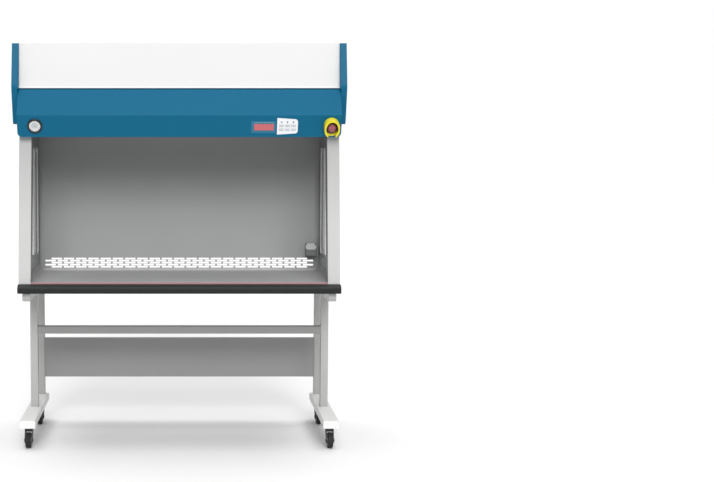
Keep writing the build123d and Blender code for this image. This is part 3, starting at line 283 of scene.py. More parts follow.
# %% [markdown]
# Rubber, foam and moulded plastics. Moulded parts carry a spark-eroded grain about 0.5 mm across, drawn at
# 1 mm. The armrest is a skinned polyurethane foam whose hide grain is about 2 mm.

# %% Moulded and rubber parts


def moulded(name, light, dark, roughness, grain=1.0, depth=0.03, **sockets):
    material, tree, shader, place = start_material(name, light, roughness, **sockets)
    cells = add(tree, "ShaderNodeTexVoronoi", {"Scale": per_mm(grain)}, {"Vector": (place, "Object")})
    cloud = add(tree, "ShaderNodeTexNoise", {"Scale": per_mm(60), "Detail": 3.0},
                {"Vector": (place, "Object")})
    vary_colour(tree, shader, cloud, light, dark)
    vary_roughness(tree, shader, cloud, roughness - 0.05, roughness + 0.07)
    relief(tree, shader, cells, depth)
    finishes[name] = material
    return material


moulded("armrest_foam_skin", "#141716", "#111312", 0.6, grain=2.0, depth=0.06, Specular_IOR_Level=0.35)
paint_light_and_shade_by_height("armrest_foam_skin", 0.826, 0.84, 3.0)  # painted highlight: the coat is painted three times lighter up its sloped top, for the light it catches
moulded("tyre_rubber", "#1A1A1A", "#141414", 0.7)
moulded("hub_nylon", "#858685", "#7C7D7C", 0.5)
moulded("grey_gasket_rubber", "#999B9B", "#8F9191", 0.6)
moulded("socket_thermoplastic", "#808281", "#797B7A", 0.42)
moulded("socket_lid_plastic", "#DADCDB", "#D2D4D3", 0.35)
moulded("black_polyamide", "#18191B", "#121315", 0.45)
moulded("yellow_polycarbonate", "#DED01A", "#D5C716", 0.35, depth=0.01)
moulded("red_polycarbonate", "#8C4852", "#83424C", 0.36, depth=0.01)
moulded("pink_seal_strip", "#AA8084", "#A2787D", 0.55)
moulded("polyester_keypad_film", "#E6E8EA", "#E1E3E5", 0.38, grain=0.8, depth=0.01)
moulded("key_print_film", "#C8CCD0", "#C1C5CA", 0.4, grain=0.8, depth=0.01)
moulded("lamp_phosphor_glass", "#F2F4F5", "#ECEFF0", 0.2, depth=0.0)
moulded("printed_black_ink", "#25282B", "#202226", 0.6, depth=0.0)
moulded("printed_grey_ink", "#7F868C", "#797F86", 0.6, depth=0.0)
moulded("printed_pale_blue_ink", "#ADC8D2", "#A4C1CD", 0.6, depth=0.0)
moulded("console_film", "#126A88", "#126785", 0.34, depth=0.0)
moulded("dial_enamel", "#DDDEDC", "#D8D9D7", 0.4, grain=6.0, depth=0.0)
moulded("dial_patch_print", "#B6B9BA", "#ADB0B1", 0.5, grain=6.0, depth=0.0)
print("moulded finishes ready")

# %% [markdown]
# Float glass and the gauge's acrylic lens are drawn as a thin clear skin: a little tint, a sharp
# reflection, and an alpha that lets most light through. The display is a red acrylic filter over dark
# cells, so its colour is deep and its face glossy.

# %% Clear and glossy parts


def clear_sheet(name, tint, alpha, smear_mm=180.0):
    material, tree, shader, place = start_material(name, tint, 0.05, IOR=1.5, Alpha=alpha)
    smear = add(tree, "ShaderNodeTexNoise", {"Scale": per_mm(smear_mm), "Detail": 3.0},
                {"Vector": (place, "Object")})
    vary_roughness(tree, shader, smear, 0.03, 0.09)
    finishes[name] = material
    return material


clear_sheet("float_glass", "#848F8C", 0.26)
clear_sheet("gauge_acrylic", "#E8EEF0", 0.16)
moulded("red_display_filter", "#BE6064", "#B85C60", 0.22, grain=2.6, depth=0.0)
print("finishes:", len(finishes))

# %% [markdown]
# The filter packs are glass-fibre paper and polyester wadding. Both are matt fibre mats, so a tight noise
# gives their relief, about 1.5 mm from tuft to tuft, and a high roughness keeps them dull.

# %% Filter mats and castings


def fibre_mat(name, light, dark, tuft=1.5):
    material, tree, shader, place = start_material(name, light, 0.95)
    tufts = add(tree, "ShaderNodeTexNoise", {"Scale": per_mm(tuft), "Detail": 4.0},
                {"Vector": (place, "Object")})
    vary_colour(tree, shader, tufts, light, dark)
    relief(tree, shader, tufts, 0.4)
    finishes[name] = material


fibre_mat("filter_paper", "#EFEFEC", "#E2E2DE")
fibre_mat("polyester_wadding", "#D9DCD8", "#C3C7C2", tuft=3.0)
moulded("painted_casting", "#4A4B4D", "#3F4042", 0.6, grain=3.0, depth=0.15)
floor_finish = moulded("studio_floor_sheet", "#EAEAEA", "#E9E9E9", 0.9, grain=4.0, depth=0.0)
floor_mesh.materials.append(floor_finish)

# %% [markdown]
# Each solid now gets its finish. On the real hood, pieces from one coating line or one mould look alike,
# so the list runs from a finish to the nodes that share it. A solid's own material slots are cleared first.

# %% Dress the solids
finish_of = {
    "foot_powder_coat": ["feet"],
    "stand_powder_coat": ["legs", "top_rails"],
    "rail_powder_coat": ["cross_rail"],
    "panel_powder_coat": ["modesty_panel"],
    "zinc_plated_steel": ["frame_bolts", "gauge_needle"],
    "black_powder_coat": ["caster_stems"] + [f"{e}_{s}_fork" for e in ("front", "rear")
                                              for s in ("left", "right")],
    "hub_nylon": [f"{e}_{s}_hub" for e in ("front", "rear") for s in ("left", "right")],
    "tyre_rubber": [f"{e}_{s}_tyre" for e in ("front", "rear") for s in ("left", "right")],
    "satin_worktop_sheet": ["worktop"],
    "armrest_foam_skin": ["armrest"],
    "satin_chamber_sheet": ["back_wall"],
    "lined_side_frame": ["left_side_frame", "right_side_frame"],
    "float_glass": ["window_panes"],
    "grey_gasket_rubber": ["window_gaskets"],
    "socket_thermoplastic": ["socket_box"],
    "socket_lid_plastic": ["socket_lid"],
    "white_powder_coat": ["housing_shell", "front_panel"],
    "blue_powder_coat": ["console_cover", "left_wing", "right_wing"],
    "black_polyamide": ["gauge_case", "estop_base", "estop_plunger", "mains_inlet"],
    "dial_enamel": ["gauge_dial"],
    "gauge_acrylic": ["gauge_lens"],
    "red_display_filter": ["display_window"],
    "polyester_keypad_film": ["keypad_plate"],
    "key_print_film": [f"key_{r}_{c}" for r in (1, 2) for c in (1, 2, 3)],
    "yellow_polycarbonate": ["estop_collar"],
    "red_polycarbonate": ["estop_head"],
    "mill_aluminium": ["diffuser", "filter_frame", "fan_deck", "lamp_fixture", "left_impeller",
                       "right_impeller"],
    "filter_paper": ["filter_media"],
    "polyester_wadding": ["prefilter"],
    "painted_casting": ["fan_motors"],
    "lamp_phosphor_glass": ["lamp_tube"],
}
for finish, names in finish_of.items():
    for name in names:
        nodes[name].data.materials.clear()
        nodes[name].data.materials.append(finishes[finish])
dressed = {name for names in finish_of.values() for name in names}
print("dressed:", len(dressed), "left:", sorted(set(nodes) - dressed))

# %% [markdown]
# Small pieces are drawn flat in millimetres and then carried to their place. Those on the console sit on
# its lower facet, which leans 20 degrees, so one matrix takes a drawing there: X to the right, Y up the
# facet, Z out of it.

# %% Piece helpers
CREASE = (55.0, 1701.0)  # depth and height of the console's crease
CONSOLE_BASE = (95.0, 1592.0)


def facet_matrix(x, height):
    """Carries a flat drawing in mm to the console's lower facet, in metres."""
    share = (CREASE[1] - height) / (CREASE[1] - CONSOLE_BASE[1])
    depth = CREASE[0] + share * (CONSOLE_BASE[0] - CREASE[0])
    lean = math.atan2(CONSOLE_BASE[0] - CREASE[0], CREASE[1] - CONSOLE_BASE[1])
    outward = Vector((0, -math.cos(lean), -math.sin(lean)))
    right = Vector((1, 0, 0))
    turn = Matrix((right, outward.cross(right), outward)).transposed().to_4x4()
    place = Matrix.Translation(Vector((x, y_at(depth), height)) * MM)
    return place @ turn @ Matrix.Diagonal((MM, MM, MM, 1))


def finish_piece(name, mesh, body, finish, matrix=None):
    """Makes a mesh into a finished piece that rides on a body."""
    if matrix is not None:
        mesh.transform(matrix)
    mesh.materials.clear()
    mesh.materials.append(finishes[finish])
    piece = bpy.data.objects.new(name, mesh)
    bpy.context.scene.collection.objects.link(piece)
    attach(piece, body)
    return piece


def plates(outlines, thickness, lift=0.0):
    """One mesh of flat plates from (x, y) outlines in mm, standing on z = lift."""
    mesh = bpy.data.meshes.new("plates")
    shape = bmesh.new()
    for outline in outlines:
        low = [shape.verts.new((x, y, lift)) for x, y in outline]
        face = shape.faces.new(low)
        raised = bmesh.ops.extrude_face_region(shape, geom=[face])
        top = [v for v in raised["geom"] if isinstance(v, bmesh.types.BMVert)]
        bmesh.ops.translate(shape, verts=top, vec=(0, 0, thickness))
    bmesh.ops.recalc_face_normals(shape, faces=shape.faces)
    shape.to_mesh(mesh)
    shape.free()
    return mesh


def rectangle(x, y, width, height, corner=0.0, steps=5):
    """Outline of a rectangle with round corners, counter-clockwise from the lower right."""
    if not corner:
        return [(x + width / 2, y - height / 2), (x + width / 2, y + height / 2),
                (x - width / 2, y + height / 2), (x - width / 2, y - height / 2)]
    points = []
    for cx, cy, start in ((1, -1, -90), (1, 1, 0), (-1, 1, 90), (-1, -1, 180)):
        for i in range(steps + 1):
            angle = math.radians(start + 90 * i / steps)
            points.append((x + cx * (width / 2 - corner) + corner * math.cos(angle),
                           y + cy * (height / 2 - corner) + corner * math.sin(angle)))
    return points


def ring_sector(inner, outer, start, end, steps=12):
    """Outline of part of a flat ring, angles in degrees."""
    angles = [math.radians(start + (end - start) * i / steps) for i in range(steps + 1)]
    return ([(outer * math.cos(a), outer * math.sin(a)) for a in angles]
            + [(inner * math.cos(a), inner * math.sin(a)) for a in reversed(angles)])


print("piece helpers ready")

# %% [markdown]
# A geometry-node tree can lay the same small part along any path. This one reads a drawn line, cuts it to
# a fixed spacing, puts a small bead on each point and makes the beads real. It draws the weld that joins
# each leg to its foot and rail: overlapping scales about 3 mm apart.

# %% Weld tree


def bead_tree():
    tree = bpy.data.node_groups.new("weld_scales", "GeometryNodeTree")
    face = tree.interface
    face.new_socket("Geometry", in_out="INPUT", socket_type="NodeSocketGeometry")
    for name, value in (("Spacing", 0.003), ("Bead Radius", 0.0022)):
        socket = face.new_socket(name, in_out="INPUT", socket_type="NodeSocketFloat")
        socket.default_value = value
    face.new_socket("Finish", in_out="INPUT", socket_type="NodeSocketMaterial")
    face.new_socket("Geometry", in_out="OUTPUT", socket_type="NodeSocketGeometry")
    given = add(tree, "NodeGroupInput")
    curve = add(tree, "GeometryNodeMeshToCurve", links={"Mesh": (given, "Geometry")})
    cut = add(tree, "GeometryNodeResampleCurve", links={"Curve": (curve, 0)})
    cut.mode = "LENGTH"
    tree.links.new(given.outputs["Spacing"], cut.inputs["Length"])
    bead = add(tree, "GeometryNodeMeshIcoSphere", {"Subdivisions": 2},
               {"Radius": (given, "Bead Radius")})
    laid = add(tree, "GeometryNodeInstanceOnPoints", links={"Points": (cut, 0), "Instance": (bead, 0)})
    real = add(tree, "GeometryNodeRealizeInstances", links={"Geometry": (laid, 0)})
    done = add(tree, "GeometryNodeSetMaterial", links={"Geometry": (real, 0), "Material": (given, "Finish")})
    add(tree, "NodeGroupOutput", links={"Geometry": (done, 0)})
    return tree


def run_tree(name, tree, drawing, inputs, body, finish):
    """Runs a tree on a drawn mesh and keeps the result as a plain piece."""
    worker = bpy.data.objects.new(name + "_worker", drawing)
    bpy.context.scene.collection.objects.link(worker)
    modifier = worker.modifiers.new("tree", "NODES")
    modifier.node_group = tree
    keys = {item.name: item.identifier for item in tree.interface.items_tree
            if item.item_type == "SOCKET" and item.in_out == "INPUT"}
    for key, value in {**inputs, "Finish": finishes[finish]}.items():
        modifier[keys[key]] = value
    bpy.context.view_layer.update()
    seen = worker.evaluated_get(bpy.context.evaluated_depsgraph_get())
    mesh = bpy.data.meshes.new_from_object(seen)
    bpy.data.objects.remove(worker)
    print(name, "faces:", len(mesh.polygons))
    return finish_piece(name, mesh, body, finish)


def path_mesh(loops):
    """A mesh of closed edge loops from lists of (x, y, z) in mm."""
    points, edges = [], []
    for loop in loops:
        first = len(points)
        points += [tuple(v * MM for v in point) for point in loop]
        edges += [(first + i, first + (i + 1) % len(loop)) for i in range(len(loop))]
    mesh = bpy.data.meshes.new("path")
    mesh.from_pydata(points, edges, [])
    return mesh


# %% [markdown]
# Each leg is welded all round, where its tube meets the foot below and the top rail above. The line to
# follow is the tube's own outline, repeated at both ends of the four legs. It could be traced leg by leg,
# but one mesh holds every loop here, so the tree runs once.

# %% Leg welds
LEG_X = 774.0
LEG_HALF = 20.0
LEG_CORNER = 4.0
LEG_DEPTHS = (366.0, 683.0)
LEG_ENDS = (151.0, 762.0)
weld_loops = []
for side in (-1, 1):
    for depth in LEG_DEPTHS:
        for height in LEG_ENDS:
            cx, cy = side * LEG_X, y_at(depth)
            square = rectangle(cx, cy, 2 * LEG_HALF, 2 * LEG_HALF, LEG_CORNER)
            weld_loops.append([(x, y, height) for x, y in square])
run_tree("leg_welds", bead_tree(), path_mesh(weld_loops), {"Spacing": 0.003, "Bead Radius": 0.0021},
         "frame", "stand_powder_coat")
print("weld loops:", len(weld_loops))

# %% [markdown]
# Each caster's fork is pressed from steel sheet, with its crown folded down between the cheeks into a lip
# above the tyre. A bent sheet could be modelled whole, but only the fold's end shows, so a short plate with
# rounded corners stands for it. It rides the swivel, so it turns with its fork.

# %% Fork lips
CROWN_BASE = 93.6
LIP_BASE = 81.2  # clears the tyre by 2 mm
LIP_SIZE = (31.6, 3.0)
LIP_BEHIND_AXLE = 9.5
AXLE_DEPTHS = {"front": 74.0, "rear": 590.0}
for end, axle_depth in AXLE_DEPTHS.items():
    for side, x in (("left", -LEG_X), ("right", LEG_X)):
        outline = rectangle(x, y_at(axle_depth + LIP_BEHIND_AXLE), *LIP_SIZE, 0.6)
        lip = plates([outline], CROWN_BASE - LIP_BASE, LIP_BASE)
        finish_piece(f"{end}_{side}_fork_lip", lip, f"{end}_{side}_swivel", "black_powder_coat",
                     Matrix.Diagonal((MM, MM, MM, 1)))
print("four fork lips")

# %% [markdown]
# The gauge's face is printed: an arc of graduations and a few generic numbers. A second tree bends the
# same tick round an arc, so the count, radius and sweep are inputs rather than twenty drawn lines.

# %% Gauge graduations


def tick_tree():
    tree = bpy.data.node_groups.new("dial_ticks", "GeometryNodeTree")
    face = tree.interface
    face.new_socket("Geometry", in_out="INPUT", socket_type="NodeSocketGeometry")
    for name, value in (("Radius", 0.026), ("Start Angle", 0.0), ("Sweep", 3.0)):
        face.new_socket(name, in_out="INPUT", socket_type="NodeSocketFloat").default_value = value
    face.new_socket("Count", in_out="INPUT", socket_type="NodeSocketInt").default_value = 21
    face.new_socket("Tick Size", in_out="INPUT", socket_type="NodeSocketVector")
    face.new_socket("Finish", in_out="INPUT", socket_type="NodeSocketMaterial")
    face.new_socket("Geometry", in_out="OUTPUT", socket_type="NodeSocketGeometry")
    given = add(tree, "NodeGroupInput")
    arc = add(tree, "GeometryNodeCurveArc", links={"Radius": (given, "Radius"),
                                                   "Start Angle": (given, "Start Angle"),
                                                   "Sweep Angle": (given, "Sweep"),
                                                   "Resolution": (given, "Count")})
    tick = add(tree, "GeometryNodeMeshCube", links={"Size": (given, "Tick Size")})
    tangent = add(tree, "GeometryNodeInputTangent")
    turn = add(tree, "FunctionNodeAlignRotationToVector", links={"Vector": (tangent, 0)}, axis="X")
    laid = add(tree, "GeometryNodeInstanceOnPoints", links={"Points": (arc, 0), "Instance": (tick, 0),
                                                            "Rotation": (turn, 0)})
    real = add(tree, "GeometryNodeRealizeInstances", links={"Geometry": (laid, 0)})
    done = add(tree, "GeometryNodeSetMaterial", links={"Geometry": (real, 0), "Material": (given, "Finish")})
    add(tree, "NodeGroupOutput", links={"Geometry": (done, 0)})
    return tree


GAUGE = facet_matrix(-727.0, 1648.0)
DIAL_RIGHT_END = -45  # degrees, where the scale ends
DIAL_SWEEP = 270
DIAL_TOP = 2.5
PRINT_TOP = DIAL_TOP + 0.06
ticks = tick_tree()
empty = bpy.data.meshes.new("nothing")
for label, count, size in (("fine", 41, (0.3, 2.0, 0.12)), ("main", 9, (0.7, 4.0, 0.14))):
    marks = run_tree(f"gauge_{label}_ticks", ticks, empty.copy(),
                     {"Radius": 0.0252, "Start Angle": math.radians(DIAL_RIGHT_END),
                      "Sweep": math.radians(DIAL_SWEEP), "Count": count, "Tick Size": Vector(size) * MM},
                     "frame", "printed_black_ink")
    lifted = Matrix.Translation((0, 0, PRINT_TOP * MM))
    carry = GAUGE @ Matrix.Diagonal((1 / MM, 1 / MM, 1 / MM, 1)) @ lifted
    marks.data.transform(carry)

# %% [markdown]
# The dial's numbers are printed as well, on a patch of their own. They could be cut letter by letter, but a
# text curve already has true letter shapes. Each becomes a thin mesh, and all are joined into one piece.
# Their angles come from the same sweep as the graduations, so the two always agree.

# %% Gauge numbers


def text_mesh(words, size, at, lift, thickness=0.08):
    """Lettering as a mesh in mm, centred on a point of a flat drawing."""
    curve = bpy.data.curves.new("words", "FONT")
    curve.body = words
    curve.size = size
    curve.align_x = "CENTER"
    curve.align_y = "CENTER"
    curve.extrude = thickness / 2
    curve.resolution_u = 2
    worker = bpy.data.objects.new("words", curve)
    bpy.context.scene.collection.objects.link(worker)
    bpy.context.view_layer.update()
    mesh = bpy.data.meshes.new_from_object(worker.evaluated_get(bpy.context.evaluated_depsgraph_get()))
    bpy.data.objects.remove(worker)
    mesh.transform(Matrix.Translation((at[0], at[1], lift + thickness / 2)))
    return mesh


def join_meshes(meshes):
    """Several meshes as one."""
    shape = bmesh.new()
    for mesh in meshes:
        shape.from_mesh(mesh)
    whole = bpy.data.meshes.new("whole")
    shape.to_mesh(whole)
    shape.free()
    return whole


NUMBER_RADIUS = 17.6
NUMBER_SIZE = 4.6
NUMBER_GAPS = 4
PASCALS_PER_GAP = 50
UNIT_AT = (0, -11.0)
PATCH_SIZE = (37, 27)
PATCH_CORNER = 12
PATCH_THICKNESS = 0.05
patch = plates([rectangle(0, 1.5, *PATCH_SIZE, PATCH_CORNER, 8)], PATCH_THICKNESS, DIAL_TOP)
finish_piece("gauge_scale_patch", patch, "frame", "dial_patch_print", GAUGE)
numbers = []
for i in range(NUMBER_GAPS + 1):
    angle = math.radians(DIAL_RIGHT_END + DIAL_SWEEP * (1 - i / NUMBER_GAPS))
    place = (NUMBER_RADIUS * math.cos(angle), NUMBER_RADIUS * math.sin(angle))
    numbers.append(text_mesh(str(i * PASCALS_PER_GAP), NUMBER_SIZE, place, PRINT_TOP))
numbers.append(text_mesh("Pa", NUMBER_SIZE, UNIT_AT, PRINT_TOP))
finish_piece("gauge_numbers", join_meshes(numbers), "frame", "printed_black_ink", GAUGE)
print("gauge printed")

# %% [markdown]
# Round the display lies a clear film a shade lighter than the coat, and a fine pale line of marks above the
# window. The window itself shows four seven-segment digits behind the red filter.

# %% Display print
DISPLAY = facet_matrix(426.0, 1642.0)
film = plates([rectangle(-2, 0, 124, 62, 3)], 0.12)
finish_piece("display_film", film, "frame", "console_film", DISPLAY)
dashes = [rectangle(-46 + i * 7.0, 23.5, 5.2 if i % 3 else 3.2, 1.6) for i in range(14)]
finish_piece("display_marks", plates(dashes, 0.1, 0.12), "frame", "printed_pale_blue_ink",
             DISPLAY)


def segment_digit(x, lit, width=9.0, height=16.0, stroke=1.8):
    """Outlines of a seven-segment digit centred on x. lit holds letters from a to g."""
    half, rise = width / 2, height / 2
    bars = {"a": (x, rise, width - stroke, stroke), "d": (x, -rise, width - stroke, stroke),
            "g": (x, 0, width - stroke, stroke), "b": (x + half, rise / 2, stroke, rise - stroke),
            "c": (x + half, -rise / 2, stroke, rise - stroke),
            "f": (x - half, rise / 2, stroke, rise - stroke),
            "e": (x - half, -rise / 2, stroke, rise - stroke)}
    return [rectangle(*bars[key]) for key in lit]


digits = []
for x, lit in ((-30, "abcdef"), (-12, "acdfg"), (6, "abcdefg"), (24, "abged")):
    digits += segment_digit(x, lit)
moulded("red_lit_segment", "#C0666A", "#BE6468", 0.4, depth=0.0)
finish_piece("display_digits", plates(digits, 0.1, 1.2), "frame", "red_lit_segment", DISPLAY)

# %% [markdown]
# The keypad's film has three small dark symbols above its keys: a fan, a lamp and a plug. They are
# plain generic signs, made from a few outlines each.

# %% Keypad symbols
KEYPAD = facet_matrix(544.0, 1646.5)
PLATE = 2.4


def disc(x, y, radius, steps=16):
    return [(x + radius * math.cos(2 * math.pi * i / steps), y + radius * math.sin(2 * math.pi * i / steps))
            for i in range(steps)]


def moved(outline, x, y):
    return [(a + x, b + y) for a, b in outline]


symbol_row = 22.0
fan = [moved(ring_sector(1.6, 5.5, a, a + 62, 5), -30, symbol_row) for a in (10, 130, 250)]
fan.append(disc(-30, symbol_row, 1.2))
lamp = [disc(0, symbol_row + 1.2, 3.6), rectangle(0, symbol_row - 3.9, 3.2, 1.6),
        rectangle(0, symbol_row - 5.7, 2.2, 0.9)]
plug = [rectangle(30, symbol_row, 7.5, 6.0, 1.2), rectangle(28.2, symbol_row + 4.4, 1.2, 2.4),
        rectangle(31.8, symbol_row + 4.4, 1.2, 2.4), rectangle(30, symbol_row - 4.6, 1.2, 2.6)]
finish_piece("keypad_symbols", plates(fan + lamp + plug, 0.1, PLATE), "frame", "printed_black_ink",
             KEYPAD)
key_marks = {}
for row in range(2):
    for column in range(3):
        x = (column - 1) * 30.0
        y = -8.0 + (0.5 - row) * 21.0
        bars = [rectangle(x, y, 7.0, 1.4)]
        if row == 0:  # the upper keys have a plus, drawn in three bars that don't overlap
            bars += [rectangle(x, y + 2.15, 1.4, 2.8), rectangle(x, y - 2.15, 1.4, 2.8)]
        name = f"key_{row + 1}_{column + 1}"
        key_marks[name] = finish_piece(name + "_mark", plates(bars, 0.08, PLATE + 1.0), name,
                                       "printed_grey_ink", KEYPAD)
print("keypad printed:", len(key_marks), "marks")

# %% [markdown]
# The inside of the stop's yellow shroud is painted shade: a dark brown for the shade in its deep well. The
# finish measures how far a point lies from the button's own axis and changes colour inside a radius.

# %% Shroud's painted shade
STOP = facet_matrix(765.0, 1645.0)


def paint_shade_near_axis(name, matrix, radius_mm, colour):
    """Paints shade into a finish: a second colour inside a radius of a control's own axis."""
    tree = finishes[name].node_tree
    shader = tree.nodes["Principled BSDF"]
    place = add(tree, "ShaderNodeTexCoord")
    turn = matrix.normalized()
    own = add(tree, "ShaderNodeMapping", {"Location": turn.to_translation(), "Rotation": turn.to_euler()},
              {"Vector": (place, "Object")}, vector_type="TEXTURE")
    flat = add(tree, "ShaderNodeVectorMath", {1: (1, 1, 0)}, {0: (own, 0)}, operation="MULTIPLY")
    reach = add(tree, "ShaderNodeVectorMath", links={0: (flat, 0)}, operation="LENGTH")
    inside = add(tree, "ShaderNodeMath", {1: radius_mm * MM}, {0: (reach, "Value")}, operation="LESS_THAN")
    mix = add(tree, "ShaderNodeMix", {7: linear(colour)}, {0: (inside, 0)}, data_type="RGBA")
    tree.links.new(shader.inputs["Base Color"].links[0].from_socket, mix.inputs[6])
    tree.links.new(mix.outputs[2], shader.inputs["Base Color"])


# painted shade: the shroud's inside, within 30.5 mm of the stop's axis, turns dark brown
paint_shade_near_axis("yellow_polycarbonate", STOP, 30.5, "#4A3A22")

# %% [markdown]
# The stop button's head carries three raised arrows that show which way it turns to release. They follow
# the shallow dome, so each point is lifted to the height of the dome under it.

# %% Stop button arrows
HEAD_BASE = 20.5
HEAD_HEIGHT = 12.0
CROWN = 3.0
FACE_RADIUS = 17.5
DOME_RADIUS = (FACE_RADIUS ** 2 + CROWN ** 2) / (2 * CROWN)


def on_dome(mesh, lift):
    """Bends a flat drawing onto the head's dome."""
    for vertex in mesh.vertices:
        x, y, z = vertex.co
        drop = DOME_RADIUS - math.sqrt(DOME_RADIUS ** 2 - x * x - y * y)
        vertex.co.z = HEAD_BASE + HEAD_HEIGHT + CROWN - drop + z + lift


arrows = []
for turn in (0, 120, 240):
    arrows.append(ring_sector(8.6, 10.8, turn + 18, turn + 82, 10))
    tip = math.radians(turn + 6)
    base = math.radians(turn + 19)
    arrows.append([(9.7 * math.cos(tip), 9.7 * math.sin(tip)), (12.6 * math.cos(base), 12.6 * math.sin(base)),
                   (6.8 * math.cos(base), 6.8 * math.sin(base))])
arrow_mesh = plates(arrows, 0.35)
on_dome(arrow_mesh, 0.02)
moulded("pale_arrow_print", "#C47D87", "#BE7681", 0.4, depth=0.0)
finish_piece("stop_arrows", arrow_mesh, "estop_head", "pale_arrow_print", STOP)

# %% [markdown]
# Between the posts, a soft seal strip closes the joint between the worktop and the armrest. It shows as
# a thin dusty pink line. It is a rounded bead swept from post to post. The armrest's foam ends in a moulded
# cap at each end.

# %% Seal strip and armrest caps


def swept_bar(profile, half_length):
    """A closed (depth, height) profile in mm swept along X between -half and +half, capped."""
    mesh = bpy.data.meshes.new("bar")
    shape = bmesh.new()
    ends = [[shape.verts.new((side * half_length * MM, y_at(d) * MM, z * MM)) for d, z in profile]
            for side in (-1, 1)]
    count = len(profile)
    for i in range(count):
        j = (i + 1) % count
        shape.faces.new((ends[0][i], ends[0][j], ends[1][j], ends[1][i]))
    shape.faces.new(ends[0])
    shape.faces.new(ends[1])
    bmesh.ops.recalc_face_normals(shape, faces=shape.faces)
    shape.to_mesh(mesh)
    shape.free()
    return mesh


STRIP_TOP = 856.0
bead = [(37.0, 846.0), (37.0, STRIP_TOP)] + [
    (42.0 - 5.0 * math.cos(math.radians(a)), STRIP_TOP + 3.5 * math.sin(math.radians(a)))
    for a in range(20, 180, 20)] + [(47.0, STRIP_TOP), (47.0, 846.0)]
finish_piece("front_seal_strip", swept_bar(bead, 749.5), "frame", "pink_seal_strip")


def end_cap(side, thickness=2.4):
    """A moulded cap on one end of the armrest: its end outline, a little smaller, with a rounded rim."""
    outline = [(1.5, 808.0), (34.5, 808.0), (34.5, 849.5), (27.5, 849.5), (1.5, 837.0)]
    mesh = bpy.data.meshes.new("end_cap")
    shape = bmesh.new()
    foot = side * 813.0
    rims = ((foot, 0.0), (foot + side * thickness * 0.6, 0.0), (foot + side * thickness, 1.4))
    middle = (18.0, 828.0)
    loops = []
    for x, shrink in rims:
        loops.append([shape.verts.new((x * MM, y_at(d + (middle[0] - d) * shrink / 18) * MM,
                                       (z + (middle[1] - z) * shrink / 18) * MM)) for d, z in outline])
    count = len(outline)
    for low, high in zip(loops, loops[1:]):
        for i in range(count):
            shape.faces.new((low[i], low[(i + 1) % count], high[(i + 1) % count], high[i]))
    shape.faces.new(loops[0])
    shape.faces.new(loops[-1])
    bmesh.ops.recalc_face_normals(shape, faces=shape.faces)
    shape.to_mesh(mesh)
    shape.free()
    return mesh


caps = join_meshes([end_cap(-1), end_cap(1)])
finish_piece("armrest_end_caps", caps, "frame", "black_polyamide")
print("strip and caps ready")

# %% [markdown]
# Sheet-metal panels are held by small pan-head screws. One tree places the same head wherever a point is
# drawn and turns it to face along that point's stored direction.

# %% Screw tree


def screw_head():
    """A pan head 7 mm across with a cross recess, drawn facing +Z, in metres."""
    mesh = bpy.data.meshes.new("screw_head")
    shape = bmesh.new()
    rings = [(3.5, 0.0), (3.5, 0.9), (3.1, 1.7), (2.2, 2.2)]
    loops = []
    for radius, height in rings:
        loops.append([shape.verts.new((radius * math.cos(math.pi * i / 8) * MM,
                                       radius * math.sin(math.pi * i / 8) * MM, height * MM))
                      for i in range(16)])
    for low, high in zip(loops, loops[1:]):
        for i in range(16):
            shape.faces.new((low[i], low[(i + 1) % 16], high[(i + 1) % 16], high[i]))
    cross = []
    for i in range(16):
        reach_mm = 1.7 if i % 4 == 0 else 0.45
        cross.append(shape.verts.new((reach_mm * math.cos(math.pi * i / 8) * MM,
                                      reach_mm * math.sin(math.pi * i / 8) * MM, 1.3 * MM)))
    for i in range(16):
        shape.faces.new((loops[-1][i], loops[-1][(i + 1) % 16], cross[(i + 1) % 16], cross[i]))
    shape.faces.new(cross)
    shape.faces.new(loops[0][::-1])
    bmesh.ops.recalc_face_normals(shape, faces=shape.faces)
    shape.to_mesh(mesh)
    shape.free()
    head = bpy.data.objects.new("screw_head", mesh)
    bpy.context.scene.collection.objects.link(head)
    return head


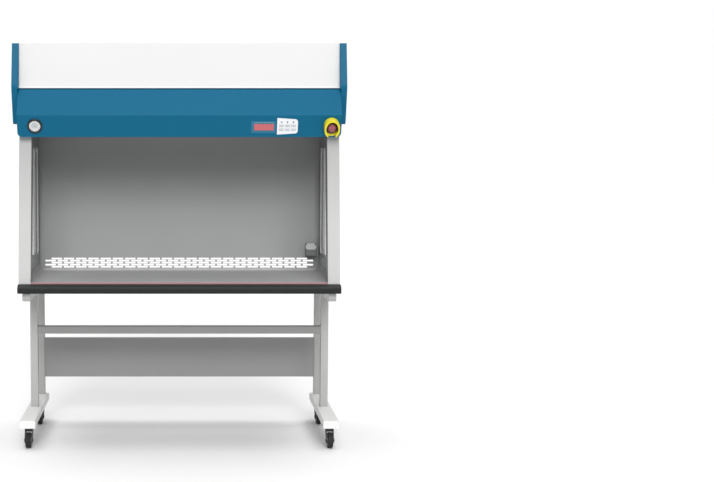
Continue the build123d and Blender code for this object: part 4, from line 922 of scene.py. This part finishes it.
def screw_tree():
    tree = bpy.data.node_groups.new("panel_screws", "GeometryNodeTree")
    face = tree.interface
    face.new_socket("Geometry", in_out="INPUT", socket_type="NodeSocketGeometry")
    face.new_socket("Head", in_out="INPUT", socket_type="NodeSocketObject")
    face.new_socket("Head Scale", in_out="INPUT", socket_type="NodeSocketFloat").default_value = 1.0
    face.new_socket("Finish", in_out="INPUT", socket_type="NodeSocketMaterial")
    face.new_socket("Geometry", in_out="OUTPUT", socket_type="NodeSocketGeometry")
    given = add(tree, "NodeGroupInput")
    points = add(tree, "GeometryNodeMeshToPoints", links={"Mesh": (given, "Geometry")})
    facing = add(tree, "GeometryNodeInputNamedAttribute", {"Name": "facing"}, data_type="FLOAT_VECTOR")
    turn = add(tree, "FunctionNodeAlignRotationToVector", links={"Vector": (facing, 0)}, axis="Z")
    head = add(tree, "GeometryNodeObjectInfo", links={"Object": (given, "Head")})
    laid = add(tree, "GeometryNodeInstanceOnPoints", links={
        "Points": (points, 0), "Instance": (head, "Geometry"), "Rotation": (turn, 0),
        "Scale": (given, "Head Scale")})
    real = add(tree, "GeometryNodeRealizeInstances", links={"Geometry": (laid, 0)})
    done = add(tree, "GeometryNodeSetMaterial", links={"Geometry": (real, 0), "Material": (given, "Finish")})
    add(tree, "NodeGroupOutput", links={"Geometry": (done, 0)})
    return tree


def screw_points(places):
    """A mesh of loose points from (x, depth, height, direction) in mm."""
    mesh = bpy.data.meshes.new("screw_points")
    mesh.from_pydata([(x * MM, y_at(d) * MM, z * MM) for x, d, z, _ in places], [], [])
    facing = mesh.attributes.new("facing", "FLOAT_VECTOR", "POINT")
    for item, (_, _, _, direction) in zip(facing.data, places):
        item.vector = direction
    return mesh


BACK, OUT_LEFT, OUT_RIGHT = (0, 1, 0), (-1, 0, 0), (1, 0, 0)
places = []
for i in range(9):
    x = -800 + i * 200
    places.append((x, 730, 2045, BACK))
    places.append((x, 730, 1677, BACK))
for z in (1770, 1862, 1954):
    for x in (-830, 830):
        places.append((x, 730, z, BACK))
for side, facing in ((-1, OUT_LEFT), (1, OUT_RIGHT)):
    for z in (1690, 1860, 2030):
        places.append((side * 847, 705, z, facing))
prototype = screw_head()
run_tree("housing_screws", screw_tree(), screw_points(places), {"Head": prototype, "Head Scale": 1.0},
         "frame", "zinc_plated_steel")
bpy.data.objects.remove(prototype)
